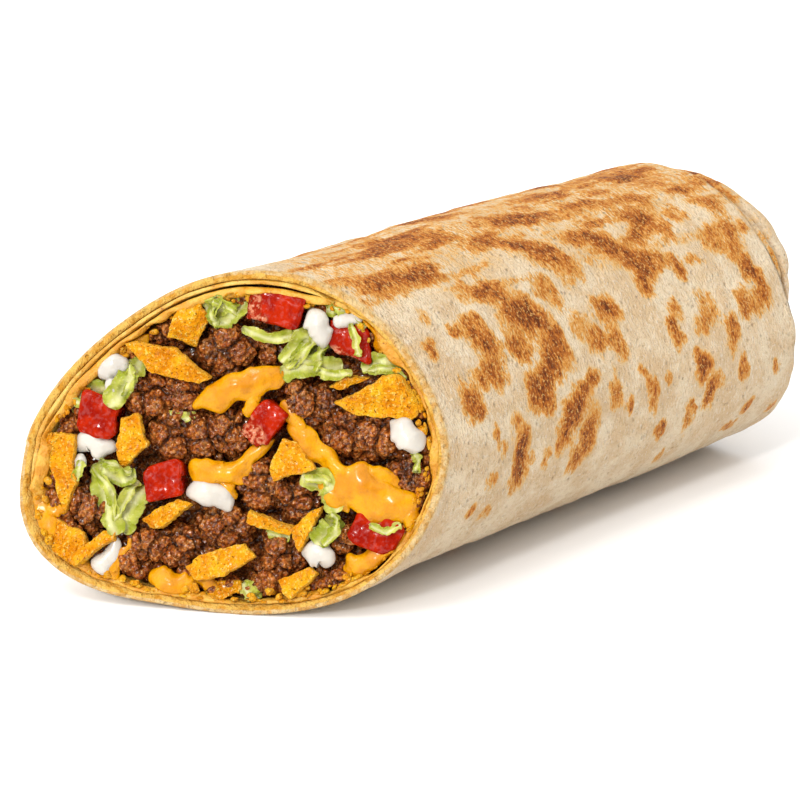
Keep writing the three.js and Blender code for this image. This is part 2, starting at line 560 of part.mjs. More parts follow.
// Pieces of filling that show on the cut, those that lie over others first.
// Each gives its place on the face (or its corners there), how far it stands out, and its true size.
const FILLINGS = [
  { kind: 'tomato', make: dice, pieces: [
    { at: [6.6, 24], out: -3.2, size: [10, 7.4, 8.4], turn: -8, shear: 0.1 },
    { at: [19.5, 18.3], out: -3.9, size: [7.8, 6.2, 7.6], turn: -12, shear: -0.2 },
    { at: [-23.8, 3.2], out: -3, size: [7.2, 7.4, 8], turn: -14, shear: -0.12 },
    { at: [5.3, 3.4], out: -3, size: [5.4, 8, 7.6], turn: -34, shear: 0.1 },
    { at: [-11.9, -7.3], out: -2.8, size: [7.2, 6.4, 7.6], turn: 8 },
    { at: [25.8, -14], out: -3.6, size: [8.8, 6.4, 8], turn: -18, shear: 0.15 },
  ] },
  { kind: 'chip', make: chip, pieces: [
    { corners: [[-20, 16.4], [-15, 11.7], [-6, 9.8], [-3.9, 11], [-10, 16.3]],
      out: -0.2, along: -20, pitch: 14, bend: 1.2 },
    { corners: [[-12.2, 17.5], [-7.4, 15.9], [-5.2, 21.4], [-9.2, 24.6], [-11.3, 22.4]],
      out: -1.2, along: -80, pitch: -14, bend: 1.2 },
    { corners: [[-34.8, 0.1], [-31.2, -9.4], [-29.6, -13.9], [-27, -8], [-27.8, -0.3]],
      out: -1.2, along: -86, pitch: 12, bend: 0.9 },
    { corners: [[-20.3, -2], [-19.4, -6.1], [-14.4, -1], [-17, 4], [-19.8, 3.2]],
      out: -0.7, along: -100, pitch: 10, bend: 0.8 },
    { corners: [[-32.4, -21.4], [-29, -24], [-24.4, -20.4], [-25.4, -17], [-31.6, -15.2]],
      out: -1.6, along: -68, pitch: 8, bend: 0.9 },
    { corners: [[-28.4, -22.2], [-27.2, -23.6], [-20.2, -18.2], [-19.6, -16], [-22.4, -17]],
      out: -0.4, along: 38, pitch: -20, bend: 0.6 },
    { corners: [[-16, -14.6], [-13.2, -16], [-11.4, -15.6], [-6.8, -11.2], [-9, -10.2]],
      out: -0.8, along: 31, pitch: -16, bend: 0.8 },
    { corners: [[-7.8, -22.2], [-5.4, -24.2], [-0.8, -23.8], [4.8, -19.6], [3, -17.3], [-3, -18.9]],
      out: -0.3, along: 20, pitch: -12, bend: 1 },
    { corners: [[8.6, 1.4], [6.6, -4.6], [7.6, -6.3], [15.2, -3.8], [11.4, 0.5]],
      out: -0.6, along: 238, pitch: 8, bend: 0.7 },
    { corners: [[17.2, 7.7], [21.4, 6], [31, 5.7], [33, 8.2], [29.6, 13.5], [26.6, 13.4]],
      out: -0.7, along: 12, pitch: 12, bend: 1.3 },
    { corners: [[16, 10.4], [18.6, 10.2], [23.4, 12.4], [19.6, 12.4]],
      out: -1.3, along: 15, pitch: 16, bend: 0.4 },
    { corners: [[2.6, -13.5], [5.4, -14.6], [10.6, -15.4], [11.4, -14], [3.4, -11.3]],
      out: -1, along: -10, pitch: 16, bend: 0.5 },
    { corners: [[10.4, -14.6], [12.4, -18.6], [14.4, -15.4], [16.6, -9.8], [14, -11.2]],
      out: -0.6, along: 60, pitch: -14, bend: 0.5 },
    { corners: [[8.8, -23.4], [9.9, -25.9], [11.6, -26.9], [16.2, -21.6], [14.4, -20.6]],
      out: -0.7, along: 30, pitch: -14, bend: 0.7 },
    { corners: [[-4.6, -24.8], [-3.6, -27.4], [-0.8, -27.9], [2.4, -25.6], [2.2, -24]],
      out: -1.8, along: 4, pitch: -10, bend: 0.4 },
    { corners: [[-35.8, -3], [-35.8, -8], [-33.6, -9.4], [-31.8, -8], [-33.6, -3.6]],
      out: -2.2, along: -80, pitch: 14, bend: 0.4 },
  ] },
  { kind: 'sour_cream', make: flow, pieces: [
    { path: [[-24.2, 9.8, -1.1, 1.6], [-22, 11.8, -0.3, 2.2], [-19, 12.6, -0.5, 1.7]], flat: 0.8 },
    { path: [[-28.4, -3.2, -1.5, 1.3], [-26, -1.2, -0.8, 2], [-23.4, -1.9, -0.6, 2.1],
      [-20.6, -2.2, -1.1, 1.5]], flat: 0.75, rows: 7 },
    { path: [[12.6, 23.4, -0.6, 1.5], [14, 21.4, 0.3, 2.2], [15, 19, 0.2, 1.9], [15, 16.8, -0.3, 1.1]],
      flat: 0.75, rows: 7 },
    { path: [[16.8, 21, 0, 1.6], [18.8, 21.9, 0, 1.5], [22, 23, -0.8, 0.9]], flat: 0.75 },
    { path: [[-8.2, -9.4, -1.3, 1.4], [-5.2, -8.9, -0.6, 2.2], [-2, -9.8, -0.5, 2],
      [-0.1, -12, -0.8, 1.3]], flat: 0.75, rows: 7 },
    { path: [[27.2, 5.2, -0.4, 1], [29.4, 3.6, 0.3, 2.3], [31.4, 1.6, 0.6, 2.9], [31.8, -0.2, 0.3, 1.8]],
      flat: 0.8, rows: 7 },
    { path: [[12.6, -18.4, -1.1, 1.1], [15, -18.2, -0.5, 2.1], [17, -18.8, -0.3, 2.3],
      [17, -20.8, -0.8, 1.5]], flat: 0.8, rows: 7 },
    { path: [[-24.2, -24, -1.8, 1.5], [-22.8, -22.6, -1.3, 2.2], [-21, -20.4, -1.2, 1.6],
      [-20.4, -17.6, -1.1, 0.9]], flat: 0.8, rows: 7 },
  ] },
  { kind: 'lettuce', make: shred, pieces: [
    { path: [[-6.4, 23.4, -1.8], [-3.4, 23.2, -0.8], [-0.2, 24.8, -1.4]], width: 3.2, twist: [20, -10] },
    { path: [[1.2, 24.8, -2], [-0.9, 21.8, -0.7], [-4.4, 20.2, -0.6]], width: 3.4, twist: [10, 30] },
    { path: [[13.6, 20.6, -2.2], [11.4, 18.2, -0.6], [8, 14, -0.3]], width: 2.8, twist: [-20, 20] },
    { path: [[15, 19.6, -3], [14, 16.8, -1.6], [11.4, 13.8, -0.6]], width: 3, twist: [15, -15] },
    { path: [[8, 12, -0.6], [13, 13.7, -0.2], [18.4, 14.3, -1.6]], width: 3.4, twist: [-12, 14] },
    { path: [[1.2, 19.9, 0.6], [5.8, 18.4, 0.5], [10.2, 19, -0.6]], width: 2, twist: [20, -8], ruffle: 0.2 },
    { path: [[11.6, 24.2, -2.2], [15.4, 23.8, -1.4], [19.6, 22.4, -2]], width: 2.6, twist: [10, -20] },
    { path: [[21.8, 13.8, -1.6], [25.4, 15, -0.6], [29.4, 14.6, -1.4]], width: 3.2, twist: [-16, 12] },
    { path: [[-17, 12.8, -1.6], [-19.4, 9.4, 0.4], [-22, 5, 1.5]], width: 3.8, twist: [10, -20] },
    { path: [[-29.2, 4.4, -2.2], [-26.4, 6.6, -1], [-22.4, 8.4, -1.2]], width: 3.6, twist: [-18, 10] },
    { path: [[-24, -5, -1.2], [-22.4, -10.6, -0.4], [-19.6, -17.2, 0.2]], width: 3.8, twist: [24, -12] },
    { path: [[-15.6, -8.6, -1.8], [-17.2, -12.2, -0.6], [-18.8, -17, -0.6]], width: 3.8, twist: [-12, 16] },
    { path: [[-22.8, -5.4, 0], [-19.8, -7.2, 0.4], [-16.8, -6.9, 0]], width: 3, twist: [14, -14] },
    { path: [[12.4, -4.8, -0.4], [17.2, -6.4, 0.4], [18.6, -11, 0]], width: 4.2, twist: [-14, 10] },
    { path: [[18.8, -12.2, -1.8], [17.2, -14, -0.6], [14.8, -16.4, 0.4]], width: 3.8, twist: [12, -12] },
  ] },
  { kind: 'cheese_sauce', make: flow, pieces: [
    { path: [[-7.8, 5.4, -1.4, 1.8], [-3.8, 7.9, -0.3, 2.6], [1.4, 9.7, 0, 2.8], [6, 11.5, -0.5, 2],
      [9.6, 13.2, -1.3, 1.2]], rows: 9 },
    { path: [[-8, -4.6, -1.4, 1.5], [-4.6, -5.2, -0.6, 2.3], [-0.8, -5.8, -0.5, 2.5],
      [2.8, -2.6, -0.6, 1.5], [7, 0.8, -1.3, 1.1]], rows: 9 },
    { path: [[9.2, 3.6, -1.5, 1.5], [12.8, 1.4, -1, 2.1], [16.6, -1.8, -0.7, 2.3],
      [20.8, -5.6, -0.2, 3.5], [26.6, -8.4, -0.2, 3.3], [33.4, -9.4, -1.3, 2.6]], flat: 0.5, rows: 11 },
    { path: [[21, 23.2, -1.9, 1.2], [24.4, 20.6, -1.4, 1.8], [26.4, 17.8, -1.5, 2.4],
      [28.8, 15, -2.2, 1.6]], flat: 0.6, rows: 7 },
    { path: [[-14.4, -24, -2, 1.6], [-10, -25.4, -1.3, 2.5], [-5.4, -26.2, -1.8, 2]], flat: 0.6 },
    { path: [[20, -22, -2.1, 1.7], [24.4, -19.2, -1.4, 2.8], [31.4, -13.2, -2, 1.7]], flat: 0.6 },
    { path: [[-34.6, -10, -2.2, 1.4], [-32.9, -16.4, -1.6, 2.2], [-29.4, -21.4, -2, 1.6]], flat: 0.6 },
    { path: [[-28.4, 7.4, -2.4, 1.3], [-23, 12.8, -1.6, 2], [-16, 17.6, -2, 1.5]], flat: 0.6 },
  ] },
];

// Joins and cuts
function toManifold(geometry) {
  const vertProperties = Float32Array.from(geometry.attributes.position.array);
  const triVerts = Uint32Array.from(geometry.index.array);
  return new wasm.Manifold(new wasm.Mesh({ numProp: 3, vertProperties, triVerts }));
}

function toGeometry(solid) {
  const mesh = solid.getMesh();
  const geometry = new THREE.BufferGeometry();
  const flat = new Float32Array(mesh.numVert * 3);
  for (let i = 0; i < mesh.numVert; i += 1) {
    for (let axis = 0; axis < 3; axis += 1) flat[i * 3 + axis] = mesh.vertProperties[i * mesh.numProp + axis];
  }
  geometry.setAttribute('position', new THREE.BufferAttribute(flat, 3));
  geometry.setIndex(Array.from(mesh.triVerts));
  return geometry;
}

const LEAST_LEAN = 0.45; // keeps sharp corners from running away

// Every face moved out by `gap`: each corner slides along the mean of its faces' directions.
function swollen(geometry, gap) {
  const place = geometry.attributes.position;
  const index = geometry.index.array;
  const sums = Array.from({ length: place.count }, () => new THREE.Vector3());
  const faces = Array.from({ length: place.count }, () => []);
  for (let i = 0; i < index.length; i += 3) {
    const [a, b, c] = [0, 1, 2].map((k) => new THREE.Vector3().fromBufferAttribute(place, index[i + k]));
    const normal = b.clone().sub(a).cross(c.clone().sub(a)).normalize();
    for (let k = 0; k < 3; k += 1) {
      sums[index[i + k]].add(normal);
      faces[index[i + k]].push(normal);
    }
  }
  const moved = [];
  for (let i = 0; i < place.count; i += 1) {
    const way = sums[i].normalize();
    const least = Math.min(...faces[i].map((normal) => normal.dot(way)));
    const corner = new THREE.Vector3().fromBufferAttribute(place, i);
    moved.push(corner.addScaledVector(way, gap / Math.max(least, LEAST_LEAN)));
  }
  return geometryOf(moved, Array.from(index));
}

// Mesh clean-up
const FLAT_AREA = 1e-4; // faces smaller than this may turn freely
const THINNEST = 0.03; // least height of a face as a share of its longest side
const SAME_WAY = 0.7; // least cosine between a face's directions before and after

// Corners shared by faces, and the faces round each corner.
class FaceNet {
  constructor(geometry) {
    const place = geometry.attributes.position;
    const numbers = [...Array(place.count).keys()];
    this.points = numbers.map((i) => new THREE.Vector3().fromBufferAttribute(place, i));
    this.around = this.points.map(() => new Set());
    this.faces = [];
    const index = geometry.index.array;
    for (let i = 0; i < index.length; i += 3) this.addFace([index[i], index[i + 1], index[i + 2]]);
  }

  addFace(corners) {
    const id = this.faces.push(corners) - 1;
    for (const corner of corners) this.around[corner].add(id);
  }

  neighbours(corner) {
    const found = new Set();
    for (const id of this.around[corner]) this.faces[id].forEach((other) => found.add(other));
    found.delete(corner);
    return found;
  }

  // Cross product of two sides, with one corner taken from another place if asked.
  span(corners, from, to) {
    const [a, b, c] = corners.map((corner) => this.points[corner === from ? to : corner]);
    return b.clone().sub(a).cross(c.clone().sub(a));
  }

  // Whether `corner` can slide onto `target` while its faces stay put within `slack`.
  canSlide(corner, target, slack) {
    const move = this.points[target].clone().sub(this.points[corner]);
    for (const id of this.around[corner]) {
      const face = this.faces[id];
      const before = this.span(face);
      const size = before.length();
      if (size > FLAT_AREA && Math.abs(before.dot(move)) > slack * size) return false;
      if (face.includes(target)) continue;
      const after = this.span(face, corner, target);
      const longest = Math.max(...face.map((other) => this.points[other].distanceTo(this.points[target])));
      if (after.length() < THINNEST * longest) return false;
      if (size > FLAT_AREA && before.dot(after) < SAME_WAY * size * after.length()) return false;
    }
    const near = this.neighbours(target);
    let shared = 0;
    for (const other of this.neighbours(corner)) if (near.has(other)) shared += 1;
    return shared === 2;
  }

  slide(corner, target) {
    for (const id of [...this.around[corner]]) {
      const face = this.faces[id];
      if (face.includes(target)) {
        face.forEach((other) => this.around[other].delete(id));
        this.faces[id] = null;
      } else {
        this.faces[id] = face.map((other) => (other === corner ? target : other));
        this.around[target].add(id);
      }
    }
    this.around[corner].clear();
  }

  thin(slack, passes) {
    for (let pass = 0; pass < passes; pass += 1) {
      for (let corner = 0; corner < this.points.length; corner += 1) {
        const reach = (other) => this.points[other].distanceTo(this.points[corner]);
        const near = [...this.neighbours(corner)].sort((a, b) => reach(a) - reach(b));
        const target = near.find((other) => this.canSlide(corner, other, slack));
        if (target !== undefined) this.slide(corner, target);
      }
    }
    return this;
  }

  // Bodies as lists of faces, by walking from corner to corner.
  bodies() {
    const seen = new Set();
    const found = [];
    for (let start = 0; start < this.points.length; start += 1) {
      if (seen.has(start) || this.around[start].size === 0) continue;
      const body = new Set();
      const open = [start];
      seen.add(start);
      while (open.length > 0) {
        const corner = open.pop();
        for (const id of this.around[corner]) body.add(id);
        for (const other of this.neighbours(corner)) {
          if (!seen.has(other)) {
            seen.add(other);
            open.push(other);
          }
        }
      }
      found.push([...body]);
    }
    return found;
  }

  volume(body) {
    return body.reduce((sum, id) => {
      const [a, b, c] = this.faces[id].map((corner) => this.points[corner]);
      return sum + a.dot(b.clone().cross(c)) / 6;
    }, 0);
  }

  largestBody(name) {
    const bodies = this.bodies();
    if (bodies.length === 0) throw new Error(`${name} is empty`);
    const best = bodies.reduce((kept, body) => (this.volume(body) > this.volume(kept) ? body : kept));
    const numbers = new Map();
    const flat = [];
    const index = best.flatMap((id) => this.faces[id].map((corner) => {
      if (!numbers.has(corner)) {
        numbers.set(corner, numbers.size);
        flat.push(...this.points[corner].toArray());
      }
      return numbers.get(corner);
    }));
    const geometry = new THREE.BufferGeometry();
    geometry.setAttribute('position', new THREE.Float32BufferAttribute(flat, 3));
    geometry.setIndex(index);
    return geometry;
  }
}

const SLACK = 0.06; // how far thinning may move a face

function finished(solid, name) {
  return new FaceNet(toGeometry(solid)).thin(SLACK, 3).largestBody(name);
}

function boxOf(geometry) {
  geometry.computeBoundingBox();
  return geometry.boundingBox;
}

// What is left of a solid once earlier pieces and their clearance are taken out of it.
function carve(solid, box, earlier) {
  let left = solid;
  for (const taken of earlier) {
    if (box.intersectsBox(taken.box)) left = left.subtract(taken.solid);
  }
  return left;
}

// Assembly
const LOOKS = {
  tortilla: { color: 0xe6cda2, roughness: 0.85 },
  ground_beef: { color: 0x5e3018, roughness: 0.6 },
  tomato: { color: 0xc8200c, roughness: 0.35 },
  chip: { color: 0xe59a2c, roughness: 0.75 },
  sour_cream: { color: 0xf6f1e6, roughness: 0.35 },
  lettuce: { color: 0xb9cf6a, roughness: 0.5 },
  cheese_sauce: { color: 0xf5a81c, roughness: 0.3 },
};

function meshOf(name, kind, geometry) {
  const look = LOOKS[kind];
  const material = new THREE.MeshStandardMaterial({ ...look, metalness: 0 });
  material.name = kind;
  geometry.computeVertexNormals();
  const mesh = new THREE.Mesh(geometry, material);
  mesh.name = name;
  return mesh;
}

function build() {
  const group = new THREE.Group();
  group.name = 'burrito';
  const wrap = toManifold(tortilla()).subtract(toManifold(rollSlit()));
  group.add(meshOf('tortilla', 'tortilla', finished(wrap, 'tortilla')));

  const space = toManifold(fillingSpace());
  const earlier = [];
  for (const { kind, make, pieces } of FILLINGS) {
    pieces.forEach((spec, i) => {
      const raw = make(spec);
      const grown = swollen(raw, GAP);
      const name = `${kind}_${i + 1}`;
      const solid = carve(toManifold(raw).intersect(space), boxOf(raw), earlier);
      group.add(meshOf(name, kind, finished(solid, name)));
      earlier.push({ solid: toManifold(grown), box: boxOf(grown).clone() });
    });
  }

  let beef = toManifold(beefCore());
  for (const bit of crumbs()) {
    const solid = toManifold(bit);
    const clear = carve(solid, boxOf(bit), earlier);
    if (clear.volume() > CRUMB_KEEP * solid.volume()) beef = beef.add(solid);
  }
  beef = beef.intersect(space);
  for (const taken of earlier) beef = beef.subtract(taken.solid);
  group.add(meshOf('ground_beef', 'ground_beef', finished(beef, 'ground_beef')));

  const bounds = new THREE.Box3().setFromObject(group);
  const middle = bounds.getCenter(new THREE.Vector3());
  for (const mesh of group.children) mesh.geometry.translate(-middle.x, -middle.y, -bounds.min.z);
  return group;
}

export default build();
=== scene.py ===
"""Burrito, folded shut at its far end and cut on a slant at the near one, laid out on a pale studio floor.

Shapes are worked out in millimetres with the roll along X and its cut facing -X, then moved to the frame.
"""

import logging
import math
from dataclasses import dataclass, field
from enum import Enum

import bpy
import numpy as np
from mathutils import Matrix


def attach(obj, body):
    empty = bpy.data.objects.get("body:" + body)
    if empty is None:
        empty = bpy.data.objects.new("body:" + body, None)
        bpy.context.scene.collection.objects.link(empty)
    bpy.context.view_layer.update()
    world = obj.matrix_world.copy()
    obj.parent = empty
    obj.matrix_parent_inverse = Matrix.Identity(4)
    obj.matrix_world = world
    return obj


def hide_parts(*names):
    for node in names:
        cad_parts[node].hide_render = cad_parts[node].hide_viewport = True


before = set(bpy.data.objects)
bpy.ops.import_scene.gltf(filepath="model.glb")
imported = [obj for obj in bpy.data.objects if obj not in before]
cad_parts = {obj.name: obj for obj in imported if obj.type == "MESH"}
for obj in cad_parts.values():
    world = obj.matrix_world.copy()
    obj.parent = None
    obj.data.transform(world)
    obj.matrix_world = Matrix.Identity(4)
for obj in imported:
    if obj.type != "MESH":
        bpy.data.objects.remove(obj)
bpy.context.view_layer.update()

LOG = logging.getLogger("burrito")
Array = np.ndarray
Object = bpy.types.Object
Material = bpy.types.Material
Pair = tuple[float, float]
Triple = tuple[float, float, float]
Rows = tuple[tuple[float, ...], ...]  # a table of numbers
TAU = 2 * np.pi
SHIFT = np.array([58.4132, -0.1801, 0.0])  # middle of the roll, which the frame puts at its origin
METRE = 0.001


# ---- numbers on arrays


def smooth(low: float, high: float, value: Array) -> Array:
    """Eased step: 0 below low, 1 above high, and 3s^2 - 2s^3 of the share s between.

    Args:
        low: where the step starts.
        high: where it ends.
        value: numbers to step.
    Returns:
        The step at each number.
    """
    share = np.clip((np.asarray(value, float) - low) / (high - low), 0, 1)
    return share * share * (3 - 2 * share)


def mix(a: Array, b: Array, share: Array) -> Array:
    """Straight blend a + (b - a) * share."""
    return a + (b - a) * share


def squared(wave: Array, power: float) -> Array:
    """Sign of a sine or cosine times its size to a power: blunter below power 1, sharper above it."""
    return np.sign(wave) * np.abs(wave) ** power


def turns(columns: int) -> Array:
    """(1, columns) even turns round a ring, from 0 to just short of a full one."""
    return np.arange(columns)[None, :] / columns * TAU


def ball(rows: int, columns: int, tip: float) -> Array:
    """Unit ball on a grid: sine and cosine of a polar angle down the rows and of a turn along the columns.

    Args:
        rows: rings from pole to pole.
        columns: points round a ring.
        tip: how far the first and last ring stay from their poles, as a share of a half turn.
    Returns:
        (rows, columns, 3) points.
    """
    polar = np.linspace(tip, 1 - tip, rows)[:, None] * np.pi
    turn = turns(columns)
    flat = np.sin(polar)
    return np.stack([flat * np.cos(turn), flat * np.sin(turn), np.cos(polar) + 0 * turn], -1)


def through(knots: Array, place: Array) -> Array:
    """Cubic through every knot: each stretch blends four knots, so that its slopes are half the outer chords.

    Args:
        knots: (n + 2, ...) knots, with a spare one at each end.
        place: (steps,) places on the curve, from 0 at the first real knot to n - 1 at the last.
    Returns:
        (steps, ...) blended knots.
    """
    near = np.minimum(place.astype(int), len(knots) - 4)
    t = (place - near).reshape(-1, *[1] * (knots.ndim - 1))
    a, b, c, d = (knots[near + k] for k in range(4))
    return 0.5 * (2 * b + (c - a) * t + (2 * a - 5 * b + 4 * c - d) * t**2 + (3 * b - a - 3 * c + d) * t**3)


def hashed(cell: Array, seed: int) -> Array:
    """Even random numbers that depend only on whole-number cells.

    Args:
        cell: (..., 3) whole numbers.
        seed: which set of numbers.
    Returns:
        (...) numbers from 0 to 1, by multiplying the coordinates with odd numbers and mixing the bits.
    """
    c = cell.astype(np.int64)
    h = c[..., 0] * 374761393 + c[..., 1] * 668265263 + c[..., 2] * 2147483647 + seed * 974634777
    h = (h ^ (h >> 13)) & 0xFFFFFFFF
    h = (h * 1274126177) & 0xFFFFFFFF
    h = (h ^ (h >> 16)) & 0xFFFFFFFF
    h = (h * 2246822519) & 0xFFFFFFFF
    return ((h ^ (h >> 15)) & 0xFFFFFF) / float(0x1000000)


def noise(points: Array, size: float, seed: int = 0) -> Array:
    """Soft value noise: random corner values of a cubic lattice, eased between.

    Args:
        points: (..., 3) places in millimetres.
        size: lattice spacing.
        seed: which lattice.
    Returns:
        (...) values from -1 to 1.
    """
    scaled = points / size + 37.7
    base = np.floor(scaled)
    part = scaled - base
    ease = part * part * part * (part * (part * 6 - 15) + 10)
    total = np.zeros(points.shape[:-1])
    for corner in range(8):
        step = np.array([corner & 1, (corner >> 1) & 1, (corner >> 2) & 1])
        weight = np.prod(np.where(step == 1, ease, 1 - ease), axis=-1)
        total += weight * hashed(base + step, seed)
    return total * 2 - 1


def layered(points: Array, size: float, layers: int, seed: int = 0) -> Array:
    """Sum of noises, each half as large and half as strong as the one before.

    Args:
        points: (..., 3) places in millimetres.
        size: lattice spacing of the first noise.
        layers: how many noises.
        seed: lattice of the first noise.
    Returns:
        (...) values, mostly from -1 to 1.
    """
    total = np.zeros(points.shape[:-1])
    for layer in range(layers):
        total += noise(points, size / 2**layer, seed + layer) / 2**layer
    return total


def cells(points: Array, size: float, seed: int = 0) -> tuple[Array, Array]:
    """Distances to the nearest and next nearest of points strewn one to a lattice cell.

    Args:
        points: (..., 3) places in millimetres.
        size: lattice spacing.
        seed: which strewing.
    Returns:
        Both distances as shares of size.
    """
    scaled = points / size + 51.3
    base = np.floor(scaled)
    first = np.full(points.shape[:-1], 9.0)
    second = first.copy()
    for number in range(27):
        step = np.array([number % 3 - 1, number // 3 % 3 - 1, number // 9 - 1])
        cell = base + step
        spot = cell + np.stack([hashed(cell, seed + 11 * axis) for axis in (1, 2, 3)], -1)
        gone = np.sqrt(((spot - scaled) ** 2).sum(-1))
        second = np.minimum(second, np.maximum(first, gone))
        first = np.minimum(first, gone)
    return first, second


def grid_normals(points: Array) -> Array:
    """Directions across a grid whose columns close: the cross product of its column and row differences.

    Args:
        points: (rows, columns, 3) grid.
    Returns:
        (rows, columns, 3) unit vectors.
    """
    along = np.gradient(points, axis=0)
    around = (np.roll(points, -1, 1) - np.roll(points, 1, 1)) / 2
    cross = np.cross(around, along)
    size = np.linalg.norm(cross, axis=-1, keepdims=True)
    return cross / np.maximum(size, 1e-9)


# ---- the roll


@dataclass(frozen=True)
class Roll:
    """Section, wall and cut of the rolled tortilla, in millimetres.

    Share 0 of the girth is the far side and 0.25 about the top. The section is widest at the belly, and its
    powers round it off above, below and beside that. It leans by a share of its height, spreads towards the
    fold, and is pressed flat by rest. The cut slants by skew with y and by tip with z. Overlap is where the
    girth has a second, inner layer, behind an open slit. Each bulge is a share of the girth, a width, and a
    rise at the cut and at the fold.
    """

    width: float = 64
    height: float = 57.8
    belly: float = 27.5
    crown_power: float = 1.4
    keel_power: float = 3.1
    side_power: float = 2.05
    lean: float = -0.033
    spread: float = 0.05
    rest: float = 0.25
    ease_step: float = 0.012
    swell_rise: float = 0.4
    length: float = 126
    cut_skew: float = -0.57
    cut_tip: float = 0.275
    cut_level: float = 29
    layer: float = 1.4
    inner_layer: float = 1.05
    slit: float = 0.25
    overlap: Pair = (-0.02, 0.28)
    overlap_ramp: float = 0.035
    gap: float = 0.3
    girth: float = 190
    bulges: Rows = (
        (0.66, 0.05, 0.6, 0.4),
        (0.78, 0.05, -0.8, 0),
        (0.06, 0.06, 0.4, 0),
        (0.23, 0.08, 0.3, -0.3),
        (0.52, 0.05, 0, 0.9),
    )

    def outline(self) -> tuple[Array, Array, Array]:
        """Section by share of its girth: a rounded shape whose powers differ above and below the belly.

        Returns:
            Shares, y and z of 2000 steps round the section.
        """
        turn = np.linspace(0, TAU, 2001)
        across, rise = np.cos(turn), np.sin(turn)
        side = np.sign(across) * np.abs(across) ** (2 / self.side_power)
        crown = self.belly + (self.height - self.belly) * np.abs(rise) ** (2 / self.crown_power)
        keel = self.belly - self.belly * np.abs(rise) ** (2 / self.keel_power)
        z = np.where(rise >= 0, crown, keel)
        y = self.width / 2 * side + self.lean * (z - self.belly)
        run = np.concatenate([[0], np.cumsum(np.hypot(np.diff(y), np.diff(z)))])
        return run / run[-1], y, z

    def eased(self, share: Array) -> tuple[Array, Array]:
        """The section with its corners eased by a mean of five places weighted 1, 2, 3, 2, 1.

        Args:
            share: share of the girth.
        Returns:
            Its y and z.
        """
        shares, ys, zs = self.outline()
        y = z = 0
        for step, weight in ((-1, 1), (-0.5, 2), (0, 3), (0.5, 2), (1, 1)):
            place = np.mod(share + step * self.ease_step, 1)
            y = y + np.interp(place, shares, ys) * weight / 9
            z = z + np.interp(place, shares, zs) * weight / 9
        return y, z

    def swell(self, share: Array, x: Array) -> Array:
        """Rise of the wrap over the lumps inside: two crossing waves and a few bulges near each end.

        Args:
            share: share of the girth.
            x: place along the roll.
        Returns:
            How far the skin stands out there.
        """
        wrapped = np.mod(share, 1)
        slow = np.sin(TAU * (2 * share + x / 95) + 0.6)
        quick = np.sin(TAU * (5 * share - x / 41) + 1.9)
        total = self.swell_rise * (0.6 * slow + 0.4 * quick) * smooth(-6, 6, x)
        for middle, spread, near, far in self.bulges:
            rise = near * (1 - smooth(0, 28, x)) + far * smooth(70, 122, x)
            total = total + rise * np.exp(-(((wrapped - middle) / spread) ** 2))
        return total

    def skin(self, share: Array, x: Array, depth: Array) -> Array:
        """A place of the wrap: the section, moved inwards by depth and outwards by the swell.

        Args:
            share: share of the girth.
            x: place along the roll.
            depth: how far below the outside.
        Returns:
            (..., 3) points.
        """
        share, x, depth = np.broadcast_arrays(
            np.asarray(share, float), np.asarray(x, float), np.asarray(depth, float)
        )
        near = 0.001
        y0, z0 = self.eased(share)
        ya, za = self.eased(share - near)
        yb, zb = self.eased(share + near)
        along_y, along_z = yb - ya, zb - za
        size = np.hypot(along_y, along_z)
        inward = depth - self.swell(share, x)
        widen = 1 + self.spread * np.clip(x / self.length, 0, 1)
        y = (y0 - inward * along_z / size) * widen
        z = z0 + inward * along_y / size
        return np.stack([x, y, np.maximum(z - self.rest, depth)], -1)

    def cut_x(self, y: Array, z: Array) -> Array:
        """Where the slanted cut crosses a line along the roll."""
        return self.cut_skew * y + self.cut_tip * (z - self.cut_level)

    def skin_at_cut(self, share: Array, depth: Array, behind: Array) -> Array:
        """The wrap's place on the cut, found by four rounds of stepping onto it.

        Args:
            share: share of the girth.
            depth: how far below the outside.
            behind: how far past the cut, along the roll.
        Returns:
            (..., 3) points.
        """
        x = np.zeros(np.broadcast(share, depth, behind).shape)
        for _ in range(4):
            point = self.skin(share, x, depth)
            x = self.cut_x(point[..., 1], point[..., 2]) + behind
        return self.skin(share, x, depth)

    def wall(self, share: Array) -> Array:
        """Depth of the inside: one layer, or two and their slit where the roll overlaps itself.

        Args:
            share: share of the girth.
        Returns:
            The depth there.
        """
        wrapped = np.mod(share + 0.5, 1) - 0.5
        low, high = self.overlap
        rising = smooth(low - self.overlap_ramp, low, wrapped)
        falling = smooth(high, high + self.overlap_ramp, wrapped)
        return self.layer + (self.inner_layer + self.slit) * rising * (1 - falling)

    def stand(self, point: Array) -> Array:
        """How far the tucked fold stands out of the lip: little low on the near side, most on top.

        Args:
            point: (..., 3) points of the lip.
        Returns:
            Its reach along the roll at each point.
        """
        high = smooth(28, 44, point[..., 2])
        back = smooth(-26, 10, point[..., 1])
        return mix(1, 11, np.clip(high + 0.6 * back, 0, 1))

    def drawn_in(self, point: Array, pull: float) -> Array:
        """Points moved towards the middle line of the roll by a share of their distance.

        Args:
            point: (..., 3) points.
            pull: the share.
        Returns:
            The moved points.
        """
        y = point[..., 1] * (1 - pull)
        z = mix(point[..., 2], self.height / 2, pull)
        return np.stack([point[..., 0], y, z], -1)

